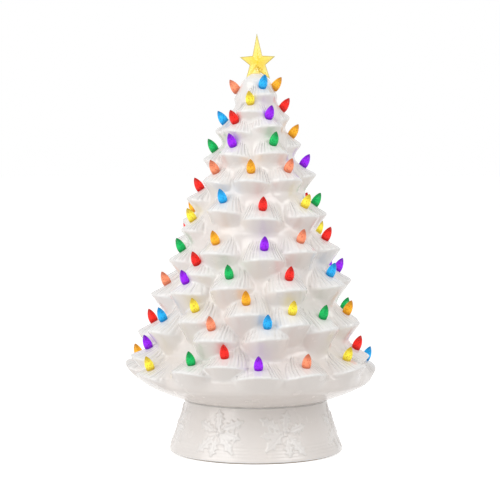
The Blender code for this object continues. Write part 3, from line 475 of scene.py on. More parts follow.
def bough_skin(bough, bearing, height):
    """One bough's radius, and where on its fan a point lies: sideways from -1 to 1, down from 0 to 1."""
    up = share_up(bough)
    scale = between(1, TOP_SCALE, up)
    half_width = half_width_of(bough)
    above_lowest = eased(*LOW_RIM_FADE, bough.height / 100)
    drop = RIM_DROP * between(LOW_RIM_SCALE, 1, above_lowest)
    rim = bulb_height(bough) - drop * between(1, TOP_RIM_SCALE, up)
    apex = bulb_height(bough) + APEX_RISE * scale
    tip = between(TIP_RADIUS_LOW, TIP_RADIUS_HIGH, rim / TREE_HEIGHT)
    tip = tip + bough.reach * MM + LIP * math.log(2)
    rise = tip - trunk_radius(rim)
    turn = (bearing - math.radians(bough.bearing) + math.pi) % FULL_TURN - math.pi
    sideways = np.clip(turn * tip / half_width, -FAR_ASIDE, FAR_ASIDE)
    aside = np.abs(sideways)
    rim = rim - CORNER_DROOP * scale * np.minimum(aside, DROOP_REACH) ** 2
    slant = SLANT * scale * math.sin(math.radians(bough.bearing) + SLANT_CYCLES * up)
    rim = rim + slant * np.clip(sideways, -DROOP_REACH, DROOP_REACH)
    down = np.clip((apex - height) / (apex - rim), 0, DROOP_REACH)
    spread = between(APEX_WIDTH, 1, down**FANNING)
    arch = 1 - np.minimum(aside / spread, FAR_ASIDE) ** SQUARENESS
    above = np.maximum(height - apex, 0)
    hollowness = between(HOLLOWNESS_LOW, HOLLOWNESS_HIGH, up) + LOW_FLARE * (1 - above_lowest)
    top = trunk_radius(height) - above + rise * down**hollowness * arch
    edge = trunk_radius(rim) + rise * (1 - aside**SQUARENESS)
    under = edge - UNDERSIDE_SLOPE * (rim - height)
    return smooth_min(top, under, LIP), sideways / spread, down


def inside_bowl(radius, height):
    """Rounds the dome off, and draws the lowest boughs in to the bowl above the foot ring."""
    in_dome = np.clip((height - TREE_HEIGHT + DOME_HEIGHT) / DOME_HEIGHT, 0, 1)
    radius = between(radius, STAR_SEAT_RADIUS, in_dome**2)
    below_turn = np.minimum(height, BOWL_TURN_HEIGHT)
    widening = below_turn - below_turn**2 / (2 * BOWL_TURN_HEIGHT)
    return smooth_min(radius, FOOT_RING_OUTSIDE + BOWL_SPREAD * widening, BLEND)


def needle_relief(fields, depth, wave):
    """How far grooves and waves move the skin, and each point's groove with the groove's strength."""
    fan, down, number, margin, grooves, size = fields.values()
    line = fan * grooves + GROOVE_SWAY * np.sin(GROOVE_SWAY_CYCLES * down + number)
    nearest = np.round(line)
    chance = scattered(nearest, number)
    valley = np.exp(-(((line - nearest) / GROOVE_SHARPNESS) ** 2))
    start = between(*GROOVE_STARTS, scattered(nearest, number + 3))
    length = eased(start, start + GROOVE_RUN_IN, down) * (1 - eased(*GROOVE_END, down))
    from_bulb = (fan / BULB_PATCH_WIDTH) ** 2 + ((down - BULB_PATCH_DOWN) / BULB_PATCH_LENGTH) ** 2
    round_bulb = 1 - np.exp(-from_bulb)
    flank = between(GROOVE_MIDDLE, 1, eased(*GROOVE_FLANK, np.abs(fan)))
    on_bough = eased(*GROOVE_MARGIN, margin) * (1 - eased(*GROOVE_SIDE, np.abs(fan)))
    strength = between(GROOVE_FAINTEST, 1, chance) * length * round_bulb * flank * on_bough
    near_rim = eased(*WAVE_ABOVE_RIM, down) * (1 - eased(*WAVE_BELOW_RIM, down))
    ripple = np.sin(fan * grooves * FULL_TURN * GROOVE_PITCH / WAVE_LENGTH + 2 * number)
    raised = wave * ripple * near_rim * round_bulb
    lumps = LUMP_DEPTH * np.sin(LUMPS_ACROSS * fan + number)
    lumps = lumps * np.sin(LUMPS_DOWN * down + LUMP_SHIFT * number)
    moved = ((raised + lumps) * on_bough - depth * valley * strength) * size
    return moved, line, strength


def tree_skin(columns, rows, depth, wave):
    """The smooth radius, the radius with its grooves, and at each point how much painted shade and pooled
    glaze it takes, and its groove.
    """
    bearings = np.linspace(0, FULL_TURN, columns, endpoint=False)[None, :]
    heights = np.linspace(0, TREE_HEIGHT, rows + 1)[:, None]
    radius = trunk_radius(heights) + 0 * bearings
    best = radius.copy()
    names = ("fan", "down", "number", "margin", "grooves", "size")
    fields = {name: np.zeros_like(radius) for name in names}
    for number, bough in enumerate(all_boughs()):
        own, fan, down = bough_skin(bough, bearings, heights)
        wins = own > best
        fields["margin"] = np.where(wins, own - best, np.minimum(fields["margin"], best - own))
        best = np.maximum(best, own)
        grooves = half_width_of(bough) / GROOVE_PITCH
        size = between(1, TOP_SCALE, share_up(bough))
        own_fields = {"fan": fan, "down": down, "number": number + 1, "grooves": grooves, "size": size}
        for name, value in own_fields.items():
            fields[name] = np.where(wins, value, fields[name])
        radius = smooth_max(radius, own, BLEND)
    smooth = inside_bowl(radius, heights)
    below_bowl = eased(0, BOWL_FADE, radius - smooth)
    moved, line, strength = needle_relief(fields, depth, wave)
    carved = smooth + moved * (1 - below_bowl)
    # Painted shade, partly glaze that pools: the hollows between boughs, the undersides of the rims and the
    # bowl take it, and the dome fades it out
    tips = between(TIP_RADIUS_LOW, TIP_RADIUS_HIGH, heights / TREE_HEIGHT)
    hollow = np.clip((tips - carved) / (tips - trunk_radius(heights)), 0, 1)
    overhang = np.gradient(smooth, heights[1, 0], axis=0)
    under = np.maximum(below_bowl, eased(*POOL_AND_SHADE_OVERHANG, overhang))
    on_dome = eased(TREE_HEIGHT - DOME_FADE_START, TREE_HEIGHT - DOME_FADE_END, heights)
    hollow = np.maximum(hollow**2, POOL_AND_SHADE_UNDER * under) * (1 - on_dome)
    return smooth, carved, {"hollow": hollow, "needle": line, "cut": strength * (1 - below_bowl)}


def worn_inwards(radius, row_height, wall):
    """The surface that lies a wall's thickness inside a skin of rows by columns."""
    inner = radius - wall
    step = FULL_TURN / radius.shape[1]
    for rows in range(-int(wall / row_height), int(wall / row_height) + 1):
        moved_rows = np.roll(radius, rows, axis=0)
        if rows > 0:
            moved_rows[:rows] = radius[0]
        if rows < 0:
            moved_rows[rows:] = radius[-1]
        for columns in range(-int(LINING_ARC / step), int(LINING_ARC / step) + 1):
            moved = np.roll(moved_rows, columns, axis=1)
            away = (columns * step * moved) ** 2 + (rows * row_height) ** 2
            depth = np.sqrt(np.maximum(wall**2 - away, 0))
            inner = np.where(away < wall**2, np.minimum(inner, moved - depth), inner)
    return inner


def tree_lining(smooth):
    """The inner surface on the skin's columns, from the mouth up to the roof, with its heights."""
    coarse = smooth[::LINING_STEP, ::LINING_STEP]
    heights = np.linspace(0, TREE_HEIGHT, smooth.shape[0])[::LINING_STEP]
    inner = worn_inwards(coarse, heights[1] - heights[0], WALL)
    low = heights < MOUTH_HEIGHT
    inner[low] = np.maximum(inner[low], FOOT_RING_INSIDE)
    kept = heights < TREE_HEIGHT - DOME_HEIGHT - WALL
    inner = inner[kept]
    ring = np.arange(smooth.shape[1]) / LINING_STEP
    whole = np.arange(coarse.shape[1] + 1)
    closed = np.hstack([inner, inner[:, :1]])
    fine = np.array([np.interp(ring, whole, row) for row in closed])
    return fine, heights[kept]


def wrap_grid(stations, columns, bottom):
    """Wraps a flat grid into one closed skin.

    A station is (radius, height, attributes), and the stations go round the wall in order.
    """
    bm = bmesh.new()
    bmesh.ops.create_grid(bm, x_segments=columns, y_segments=len(stations), size=1)
    radius = np.array([np.broadcast_to(station[0], columns) for station in stations])
    height = np.array([np.broadcast_to(station[1], columns) for station in stations])
    bearing = np.linspace(0, FULL_TURN, columns, endpoint=False)
    x = radius * np.sin(bearing)
    y = -radius * np.cos(bearing)
    z = bottom + height
    names = stations[0][2].keys()
    layers = {name: bm.verts.layers.float.new(name) for name in names}
    values = {
        name: np.array([np.broadcast_to(station[2][name], columns) for station in stations])
        for name in names
    }
    for vert in bm.verts:
        column = round((vert.co.x + 1) / 2 * columns) % columns
        station = round((vert.co.y + 1) / 2 * len(stations)) % len(stations)
        vert.co = (x[station, column], y[station, column], z[station, column])
        for name, layer in layers.items():
            vert[layer] = values[name][station, column]
    bmesh.ops.remove_doubles(bm, verts=bm.verts, dist=MM / 1000)
    bmesh.ops.recalc_face_normals(bm, faces=bm.faces)
    return bm


def turned(profile, sides, place=Matrix()):
    """A turned solid. The profile is (radius, height) points, closed by the axis or by itself."""
    bm = bmesh.new()
    points = [bm.verts.new((radius, 0, height)) for radius, height in profile]
    edges = [bm.edges.new(pair) for pair in zip(points, points[1:])]
    if profile[0][0] > 0:
        edges.append(bm.edges.new((points[-1], points[0])))
    bmesh.ops.spin(
        bm,
        geom=points + edges,
        cent=(0, 0, 0),
        axis=(0, 0, 1),
        angle=FULL_TURN,
        steps=sides,
        use_merge=True,
    )
    bmesh.ops.remove_doubles(bm, verts=bm.verts, dist=MM / 1000)
    bmesh.ops.recalc_face_normals(bm, faces=bm.faces)
    bmesh.ops.transform(bm, matrix=place, verts=bm.verts)
    return bm


def round_edges(bm, edges, width):
    """Rounds edges in two steps."""
    bmesh.ops.bevel(
        bm,
        geom=edges,
        offset=width,
        segments=2,
        profile=0.5,
        affect="EDGES",
        clamp_overlap=True,
        material=-1,
    )


def add_block(bm, low, high, edge):
    """Adds a box between two corners, with its edges rounded."""
    size = Vector(high) - Vector(low)
    middle = (Vector(high) + Vector(low)) / 2
    place = Matrix.Translation(middle) @ Matrix.Diagonal((*size, 1))
    corners = bmesh.ops.create_cube(bm, size=1, matrix=place)["verts"]
    round_edges(bm, list(dict.fromkeys(side for corner in corners for side in corner.link_edges)), edge)


def piece_from(bm, name, body, finish, smooth_angle=40):
    """Puts a bmesh in the scene as a piece that rides a body, with its finish."""
    mesh = bpy.data.meshes.new(name)
    bm.to_mesh(mesh)
    bm.free()
    mesh.shade_smooth()
    mesh.set_sharp_from_angle(angle=math.radians(smooth_angle))
    mesh.materials.append(finish)
    piece = bpy.data.objects.new(name, mesh)
    bpy.context.scene.collection.objects.link(piece)
    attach(piece, body)
    return piece


def thinned(piece, triangles):
    """Thins a piece's mesh where it is flattest, until it has about this many triangles."""
    piece.data.calc_loop_triangles()
    modifier = piece.modifiers.new("thinned", "DECIMATE")
    modifier.ratio = triangles / len(piece.data.loop_triangles)
    graph = bpy.context.evaluated_depsgraph_get()
    mesh = bpy.data.meshes.new_from_object(piece.evaluated_get(graph))
    piece.modifiers.clear()
    piece.data = mesh
    mesh.name = piece.name


def seats_of(boughs):
    """The places of bulbs: each on its seat in the glaze, with Z along the bulb."""
    turns = np.radians([bough.bearing for bough in boughs])
    heights = np.array([bulb_height(bough) - BULB_SEAT_DROP for bough in boughs])
    radius = trunk_radius(heights)
    for bough in all_boughs():
        radius = smooth_max(radius, bough_skin(bough, turns, heights)[0], BLEND)
    radius = inside_bowl(radius, heights)
    seats = []
    for bough, turn, height, reach in zip(boughs, turns, heights, radius):
        tilt = between(TILT_LOW, TILT_HIGH, share_up(bough))
        seat = Vector((reach * math.sin(turn), -reach * math.cos(turn), TREE_BOTTOM + height))
        facing = Matrix.Rotation(turn - math.pi / 2, 4, "Z")
        seats.append(Matrix.Translation(seat) @ facing @ Matrix.Rotation(tilt, 4, "Y"))
    return seats


def toned(colour, share, lift=0.0):
    """A colour made darker or lighter by one share, then lifted."""
    return [min(1, share * value + lift) for value in colour]


class Finish:
    """A node material on a Principled shader, with short calls for the nodes that shade it."""

    def __init__(self, name, **sockets):
        self.material = bpy.data.materials.new(name)
        self.material.use_nodes = True
        self.tree = self.material.node_tree
        self.shader = self.tree.nodes["Principled BSDF"]
        for socket, value in sockets.items():
            self.shader.inputs[socket.replace("_", " ")].default_value = value
        self.place = self.node("ShaderNodeTexCoord").outputs["Object"]

    def node(self, kind, inputs=None, **values):
        """A new node, whose inputs are numbers, colours or outputs, by socket name or place in the list."""
        made = self.tree.nodes.new(kind)
        for name, value in values.items():
            setattr(made, name, value)
        for socket, value in (inputs or {}).items():
            if isinstance(value, bpy.types.NodeSocket):
                self.tree.links.new(value, made.inputs[socket])
            else:
                made.inputs[socket].default_value = value
        return made

    def feed(self, output, *sockets):
        """Links an output to sockets of the shader."""
        for socket in sockets:
            self.tree.links.new(output, self.shader.inputs[socket])

    def noise(self, size, detail=3.0, place=None, roughness=0.5):
        """Soft noise whose lumps are about this size across."""
        inputs = {"Scale": 1 / size, "Detail": detail, "Roughness": roughness}
        inputs["Vector"] = place or self.place
        return self.node("ShaderNodeTexNoise", inputs).outputs["Fac"]

    def cells(self, size):
        """0 in the middle of each small cell, rising to its edges."""
        inputs = {"Scale": 1 / size, "Vector": self.place}
        return self.node("ShaderNodeTexVoronoi", inputs).outputs["Distance"]

    def attribute(self, name):
        return self.node("ShaderNodeAttribute", attribute_name=name).outputs["Fac"]

    def mapped(self, value, low, high, to_low=0.0, to_high=1.0):
        """A value from low to high, turned into one from to_low to to_high."""
        inputs = {"Value": value, "From Min": low, "From Max": high, "To Min": to_low, "To Max": to_high}
        return self.node("ShaderNodeMapRange", inputs).outputs["Result"]

    def mottle(self, size, detail=3.0, low=0.0, high=1.0):
        """Noise of this size, stretched to nearly fill the range from low to high."""
        return self.mapped(self.noise(size, detail), *NOISE_SPREAD, low, high)

    def math(self, operation, a, b=0.0):
        return self.node("ShaderNodeMath", {0: a, 1: b}, operation=operation).outputs["Value"]

    def plus(self, a, b):
        return self.math("ADD", a, b)

    def times(self, a, b):
        return self.math("MULTIPLY", a, b)

    def mixed(self, share, a, b):
        """A colour from a to b. Each is a colour or an output."""
        ends = [value if isinstance(value, bpy.types.NodeSocket) else (*value[:3], 1) for value in (a, b)]
        inputs = {"Factor": share, 6: ends[0], 7: ends[1]}
        return self.node("ShaderNodeMix", inputs, data_type="RGBA").outputs[2]

    def bump(self, height, depth, strength=1.0, under=None):
        """Raises the surface by depth where height is 1, over another bump if there is one."""
        inputs = {"Strength": strength, "Distance": abs(depth), "Height": height}
        if under:
            inputs["Normal"] = under
        raised = self.node("ShaderNodeBump", inputs, invert=depth < 0).outputs["Normal"]
        self.feed(raised, "Normal")
        return raised


def glaze_finish(name, white, pool_and_shade_colour, clay):
    """Thick glossy white glaze with bare clay on the foot ring. It is painted creamier and darker in
    hollows, under rims and in the needle grooves: partly glaze that pools, partly painted shade.
    """
    finish = Finish(name, Coat_Weight=0.45, Coat_Roughness=0.08, IOR=1.5)
    bare = finish.attribute("bare")
    cloud = finish.mapped(finish.noise(size=60 * MM), low=0.35, high=0.7)
    # Painted shade, partly pooled glaze: creamier and darker in the hollows, with a little random cloud
    hollow_pool_and_shade = finish.times(finish.attribute("hollow"), POOL_AND_SHADE_STRENGTH)
    pool_and_shade_share = finish.plus(hollow_pool_and_shade, finish.times(cloud, CLOUD_STRENGTH))
    from_groove = finish.math("PINGPONG", finish.attribute("needle"), 0.5)
    valley = finish.mapped(from_groove, 0, GROOVE_HALF_WIDTH, 1, 0)
    groove = finish.times(valley, finish.attribute("cut"))
    # Painted shade in the needle grooves, darkening the glaze
    shaded = [value * shade for value, shade in zip(white, GROOVE_SHADE_TONE)]
    glaze = finish.mixed(finish.times(groove, GROOVE_SHADE), finish.mixed(pool_and_shade_share, white, pool_and_shade_colour), shaded)
    dusty = finish.mixed(finish.mottle(size=1.2 * MM, detail=5), clay, toned(clay, share=0.8))
    finish.feed(finish.mixed(bare, glaze, dusty), "Base Color")
    sheen = finish.mottle(size=22 * MM, detail=4, low=0.16, high=0.3)
    finish.feed(finish.plus(sheen, finish.times(bare, BARE_ROUGHNESS)), "Roughness")
    fine = finish.times(finish.noise(size=1.6 * MM, detail=3), FINE_RIPPLE_SHARE)
    ripple = finish.plus(finish.noise(size=9 * MM, detail=2), fine)
    pressed = finish.bump(groove, depth=GROOVE_PRESSED)
    finish.bump(ripple, depth=RIPPLE_DEPTH, strength=0.5, under=pressed)
    return finish.material


def bulb_finish(name, colour, glow):
    """Clear coloured plastic, lit from inside, with a pebbled inner face; its middle is painted lighter as
    painted glow, its base and tip darker as painted shade.
    """
    finish = Finish(
        name,
        Roughness=0.16,
        Emission_Strength=glow,
        Transmission_Weight=0.05,
        IOR=1.46,
        Specular_IOR_Level=0.14,
        Coat_Weight=0.08,
        Coat_Roughness=0.05,
    )
    core = finish.attribute("core")
    pebbles = finish.mapped(finish.cells(size=2.6 * MM), low=0.1, high=0.55)
    # The lighter middle, speckled by the pebbles, is painted glow, and the darker base and tip painted
    # shade
    pale = toned(colour, BULB_PAINTED_GLOW, BULB_PAINTED_GLOW_LIFT)
    middle = finish.mixed(finish.times(core, pebbles), toned(colour, BULB_MIDDLE), pale)
    finish.feed(finish.mixed(core, toned(colour, BULB_PAINTED_SHADE), middle), "Base Color", "Emission Color")
    finish.bump(finish.noise(size=2.2 * MM, detail=2), depth=0.12 * MM, strength=0.4)
    return finish.material


def star_finish(colour):
    """Clear yellow plastic, deeper towards its thick middle, with amber where the stem enters it, and
    painted shade along its edges.
    """
    finish = Finish(
        "clear_yellow",
        Roughness=0.1,
        Emission_Strength=0.2,
        Transmission_Weight=0.15,
        IOR=1.46,
        Specular_IOR_Level=0.35,
        Coat_Weight=0.3,
        Coat_Roughness=0.04,
    )
    streak = finish.mottle(size=6 * MM, detail=2, low=0.75, high=1)
    pale = [value + (1 - value) * share for value, share in zip(colour, STAR_PALE_SHARES)]
    tint = finish.mixed(finish.times(finish.attribute("core"), streak), pale, colour)
    # A darker band along the outline is painted shade
    edge = finish.mapped(finish.attribute("inset"), *STAR_EDGE_SHADE_FADE, STAR_EDGE_SHADE_STRENGTH, 0)
    tint = finish.mixed(edge, tint, STAR_EDGE_SHADE_COLOUR)
    stem = (STAR_SHIFT + STAR_AMBER_ASIDE, 0, TREE_TOP + STAR_CENTRE - STAR_AMBER_DROP)
    away = finish.node("ShaderNodeVectorMath", {0: finish.place, 1: stem}, operation="DISTANCE")
    amber = finish.mapped(away.outputs["Value"], *STAR_AMBER_FADE, 1, 0)
    mottle = finish.mapped(finish.noise(size=2.5 * MM, detail=2), low=0.42, high=0.62)
    tint = finish.mixed(finish.times(amber, mottle), tint, STAR_AMBER)
    finish.feed(tint, "Base Color", "Emission Color")
    finish.bump(finish.noise(size=4 * MM, detail=2), depth=0.1 * MM, strength=0.2)
    return finish.material


def moulded_finish(name, colour, roughness=0.5, grain=0.5 * MM, see_through=0.0, glow=0.0):
    """Moulded plastic with a fine sparked grain and slight unevenness of tone."""
    lit = {"Emission_Color": (*colour, 1), "Emission_Strength": glow}
    finish = Finish(name, Transmission_Weight=see_through, **lit)
    finish.feed(finish.mixed(finish.mottle(size=14 * MM), colour, toned(colour, share=0.92)), "Base Color")
    finish.feed(finish.mottle(size=4 * MM, low=roughness - 0.08, high=roughness + 0.08), "Roughness")
    finish.bump(finish.noise(grain, detail=2), depth=0.06 * MM, strength=0.6)
    return finish.material


def metal_finish(name, colour, roughness=0.28):
    """Plated metal with faint drawing lines and a little tarnish."""
    finish = Finish(name, Metallic=1)
    stretch = finish.node("ShaderNodeMapping", {"Vector": finish.place, "Scale": (1, 14, 1)})
    lines = finish.noise(1.5 * MM, detail=3, place=stretch.outputs["Vector"])
    tarnish = finish.mapped(finish.noise(size=6 * MM, detail=4), low=0.45, high=0.75)
    finish.feed(finish.mixed(tarnish, colour, toned(colour, share=0.72)), "Base Color")
    finish.feed(finish.mapped(lines, *NOISE_SPREAD, roughness - 0.1, roughness + 0.14), "Roughness")
    finish.bump(lines, depth=0.02 * MM, strength=0.5)
    return finish.material


def felt_finish(colour):
    """Pressed wool felt with short fibres and flecks."""
    finish = Finish("pressed_felt", Roughness=0.95, Sheen_Weight=0.4)
    fibres = finish.noise(size=0.5 * MM, detail=6, roughness=0.7)
    flecks = finish.mapped(finish.noise(size=2.5 * MM, detail=4), low=0.4, high=0.7)
    shade = finish.mixed(finish.mapped(fibres, *NOISE_SPREAD), toned(colour, share=0.7), colour)
    finish.feed(finish.mixed(flecks, shade, toned(colour, share=1.25)), "Base Color")
    finish.bump(fibres, depth=0.3 * MM, strength=0.9)
    return finish.material


def jacket_finish():
    """A battery cell's shrunk film: dark, with a copper-brown band at its button end."""
    finish = Finish("cell_film", Roughness=0.3, Coat_Weight=0.4)
    split = finish.node("ShaderNodeSeparateXYZ", {"Vector": finish.place})
    band = finish.mapped(finish.math("ABSOLUTE", split.outputs["X"]), *CELL_BAND)
    dark = finish.mixed(finish.mottle(size=5 * MM), CELL_BLACK, CELL_GREY)
    finish.feed(finish.mixed(band, dark, CELL_COPPER), "Base Color")
    finish.bump(finish.noise(size=3 * MM, detail=3), depth=0.05 * MM, strength=0.5)
    return finish.material


def board_finish():
    """Green solder mask with copper tracks showing through."""
    finish = Finish("solder_mask", Roughness=0.35, Coat_Weight=0.3)
    inputs = {
        "Vector": finish.place,
        "Scale": 120,
        "Mortar Size": 0.03,
        "Color1": (*MASK_GREEN, 1),
        "Color2": (*MASK_LIGHT_GREEN, 1),
        "Mortar": (*TRACK_GREEN, 1),
    }
    tracks = finish.node("ShaderNodeTexBrick", inputs)
    finish.feed(tracks.outputs["Color"], "Base Color")
    finish.bump(tracks.outputs["Fac"], depth=0.04 * MM, strength=0.6)
    return finish.material


def number_property(name, description, default, **unit):
    return FloatProperty(name=name, description=description, default=default, min=0, **unit)


def size_property(name, description, default):
    return number_property(name, description, default, unit="LENGTH")


def colour_property(name, description, default):
    return FloatVectorProperty(
        name=name, description=description, default=default, subtype="COLOR", min=0, max=1
    )


def bulb_colour(colour, default):
    return colour_property(colour.capitalize(), f"Colour of the {colour} bulbs", default)


class GlazeSettings(bpy.types.PropertyGroup):
    groove_depth: size_property(
        "Groove depth", "How deep the needle grooves are pressed into the lowest boughs", 1.7 * MM
    )
    rim_wave: size_property("Rim wave", "How far the rims of the boughs wave in and out", 0.7 * MM)
    white: colour_property("Glaze", "Colour of the glaze where it is thin", (0.915, 0.904, 0.889))
    # This colour doubles as painted shade in the hollows, under the rims and in the bowl
    pool_and_shade_colour: colour_property(
        "Pooled glaze", "Colour of the glaze where it is thick, in the hollows", (0.835, 0.768, 0.722)
    )
    clay: colour_property("Bare clay", "Colour of the unglazed foot ring", (0.72, 0.62, 0.5))


class BulbSettings(bpy.types.PropertyGroup):
    glow: number_property("Glow", "How strongly the bulbs are lit from inside", 0.3)
    sides: IntProperty(name="Sides", description="Steps round each bulb", default=22, min=6)
    red: bulb_colour("red", (0.79, 0.014, 0.008))
    blue: bulb_colour("blue", (0.012, 0.35, 0.82))
    green: bulb_colour("green", (0.001, 0.38, 0.085))
    purple: bulb_colour("purple", (0.27, 0.008, 0.76))
    orange: bulb_colour("orange", (0.9, 0.35, 0.014))
    yellow: bulb_colour("yellow", (0.93, 0.63, 0.045))
    salmon: bulb_colour("salmon", (0.88, 0.235, 0.122))


class StarSettings(bpy.types.PropertyGroup):
    colour: colour_property("Star", "Colour of the star's clear plastic", (0.95, 0.67, 0.005))
    edge_rounding: size_property("Edge rounding", "Width of the rounding on the star's edges", 0.45 * MM)


class PedestalSettings(bpy.types.PropertyGroup):
    holly_depth: size_property(
        "Holly depth", "How far the holly stands out of the pedestal", HOLLY_LEAF_DEPTH
    )
    felt: colour_property("Felt", "Colour of the felt under the foot", (0.5, 0.33, 0.18))


class StageSettings(bpy.types.PropertyGroup):
    ambient: number_property("Ambient light", "Strength of the white light from all round", 0.39)
    key: number_property("Key lamp", "Power of the large soft lamp at the upper left", 28, unit="POWER")
    fill: number_property("Fill lamp", "Power of the soft lamp at the upper right", 14, unit="POWER")
    floor_white: number_property(
        "Floor white", "White that the floor adds for the camera alone, which keeps the shadow", 0.66
    )


class TreeOperator(bpy.types.Operator):
    """Base of the operators here, which can all be undone."""

    bl_options = {"REGISTER", "UNDO"}


def make_glaze(context):
    """The one glaze that the tree and the pedestal share."""
    found = bpy.data.materials.get("thick_white_glaze")
    settings = context.scene.ceramic_glaze
    return found or glaze_finish("thick_white_glaze", settings.white, settings.pool_and_shade_colour, settings.clay)


def tree_stations(depth, wave):
    """The tree's wall as stations: in at the star's hole, down the outside, and up the lining."""
    smooth, carved, shades = tree_skin(SKIN_COLUMNS, SKIN_ROWS, depth, wave)
    glazed = {"hollow": 0.0, "bare": 0.0, "needle": 0.0, "cut": 0.0}
    # The lining takes the full painted shade
    inside = {**glazed, "hollow": 1.0}
    unglazed = {**glazed, "bare": 1.0}
    lining, lining_heights = tree_lining(smooth)
    roof = lining_heights[-1] + WALL / 2
    stations = [
        (STAR_HOLE_RADIUS, roof, inside),
        (STAR_HOLE_RADIUS, TREE_HEIGHT - STAR_HOLE_ROUNDING, glazed),
        (STAR_HOLE_RADIUS + STAR_HOLE_ROUNDING, TREE_HEIGHT, glazed),
    ]
    heights = np.linspace(0, TREE_HEIGHT, SKIN_ROWS + 1)
    for row in range(SKIN_ROWS, 0, -1):
        here = {name: values[row] for name, values in shades.items()}
        stations.append((carved[row], heights[row], {**glazed, **here}))
    stations += [
        (FOOT_RING_OUTSIDE, FOOT_RING_ROUNDING / 2, glazed),
        (FOOT_RING_OUTSIDE - FOOT_RING_ROUNDING, 0, unglazed),
        (FOOT_RING_INSIDE + FOOT_RING_ROUNDING, 0, unglazed),
        (FOOT_RING_INSIDE, FOOT_RING_ROUNDING, unglazed),
    ]
    for radius, height in zip(lining[1:], lining_heights[1:]):
        stations.append((radius, height, inside))
    stations.append((lining[-1] * ROOF_RING_SHARE, roof, inside))
    return stations


class CERAMICTREE_OT_tree_body(TreeOperator):
    """Model the hollow glazed tree, with its boughs and needle grooves"""

    bl_idname = "ceramic_tree.tree_body"
    bl_label = "Glazed tree"

    def execute(self, context):
        settings = context.scene.ceramic_glaze
        stations = tree_stations(settings.groove_depth, settings.rim_wave)
        bm = wrap_grid(stations, SKIN_COLUMNS, TREE_BOTTOM)
        glaze = make_glaze(context)
        tree = piece_from(bm, "glazed_tree", "tree", glaze, smooth_angle=180)
        thinned(tree, SKIN_TRIANGLES)
        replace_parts(tree, "tree_body")
        return {"FINISHED"}


def bulb_profile():
    """A pegged bulb, as (radius, height above its seat): peg, sunk base, widest ring and pointed tip."""
    profile = [(0, -PEG_LENGTH), (PEG_RADIUS, -PEG_LENGTH), (PEG_RADIUS, -BULB_SINK)]
    for share in BULB_BASE_STEPS:
        height = between(-BULB_SINK, BULB_WIDEST, share)
        radius = BULB_RADIUS - (BULB_RADIUS - BULB_BASE_RADIUS) * (1 - share) ** 2
        profile.append((radius, height))
    for share in BULB_TIP_STEPS:
        height = between(BULB_WIDEST, BULB_LENGTH, share)
        profile.append((BULB_RADIUS * (1 - share**BULB_TIP_FULLNESS) ** BULB_TIP_POINT, height))
    profile.append((0, BULB_LENGTH))
    return profile


class CERAMICTREE_OT_bulbs(TreeOperator):
    """Turn the coloured bulbs and seat each in its bough"""

    bl_idname = "ceramic_tree.bulbs"
    bl_label = "Coloured bulbs"

    def execute(self, context):
        settings = context.scene.ceramic_bulbs
        finishes = {
            colour: bulb_finish(f"{colour}_plastic", getattr(settings, colour), settings.glow)
            for colour in BULB_ORDER
        }
        boughs = [bough for bough in all_boughs() if bough.colour]
        profile = bulb_profile()
        numbered = 0
        for place, (bough, seat) in enumerate(zip(boughs, seats_of(boughs))):
            colour = bough.colour
            separate = place < len(FRONT_BOUGHS) and abs(bough.bearing) <= SEPARATE_BULB_BEARING
            bm = turned(profile, settings.sides)
            # core is 1 in the bulb's middle, painted lighter as glow, and 0 at its base and tip, painted
            # darker as shade
            core = bm.verts.layers.float.new("core")
            for vert in bm.verts:
                share = min(max(vert.co.z / BULB_LENGTH, 0), 1)
                vert[core] = math.sin(math.pi * share**BULB_CORE_DROP)
            bmesh.ops.transform(bm, matrix=seat, verts=bm.verts)
            if separate:
                numbered += 1
                node = f"bulb_{numbered:02d}_{colour}"
                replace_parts(piece_from(bm, f"lit_{node}", "tree", finishes[colour]), node)
            else:
                piece_from(bm, f"lit_side_{place:02d}_{colour}", "tree", finishes[colour])
        return {"FINISHED"}


def distance_inside(x, z, outline):
    """How far a point is from the nearest side of a closed outline."""
    point = Vector((x, z))
    nearest = []
    for start, end in zip(outline, outline[1:] + outline[:1]):
        start, end = Vector(start), Vector(end)
        share = (point - start).dot(end - start) / (end - start).length_squared
        nearest.append((point - start.lerp(end, min(max(share, 0), 1))).length)
    return min(nearest)


def star_outline():
    """Ten points, a tip and a notch in turn, clockwise from the top."""
    points = []
    tips = (STAR_TOP_POINT, STAR_SIDE_POINT, STAR_LOWER_POINT, STAR_LOWER_POINT, STAR_SIDE_POINT)
    for i, tip in enumerate(tips):
        for step, radius in ((0, tip), (1, STAR_NOTCH)):
            turn = FULL_TURN * (2 * i + step) / 10 - STAR_ROLL
            points.append((radius * math.sin(turn), radius * math.cos(turn)))
    return points


def star_body(edge_rounding):
    """The star, raised to a point in front and behind, with what its finish needs at each vertex."""
    bm = bmesh.new()
    middle = TREE_TOP + STAR_CENTRE
    rim = [bm.verts.new((x + STAR_SHIFT, -STAR_EDGE / 2, z + middle)) for x, z in star_outline()]
    face = bm.faces.new(rim)
    raised = bmesh.ops.poke(bm, faces=[face])["verts"][0]
    raised.co = (STAR_SHIFT, -STAR_THICKNESS / 2, middle)
    bmesh.ops.mirror(bm, geom=bm.verts[:] + bm.edges[:] + bm.faces[:], axis="Y", merge_dist=0)
    bmesh.ops.bridge_loops(bm, edges=[edge for edge in bm.edges if edge.is_boundary])
    bmesh.ops.recalc_face_normals(bm, faces=bm.faces)
    round_edges(bm, bm.edges[:], edge_rounding)
    core = bm.verts.layers.float.new("core")
    inset = bm.verts.layers.float.new("inset")
    for vert in bm.verts:
        x, z = vert.co.x - STAR_SHIFT, vert.co.z - middle
        vert[core] = 1 - min(math.hypot(x, z) / STAR_SIDE_POINT, 1)
        vert[inset] = distance_inside(x, z, star_outline())
    return bm


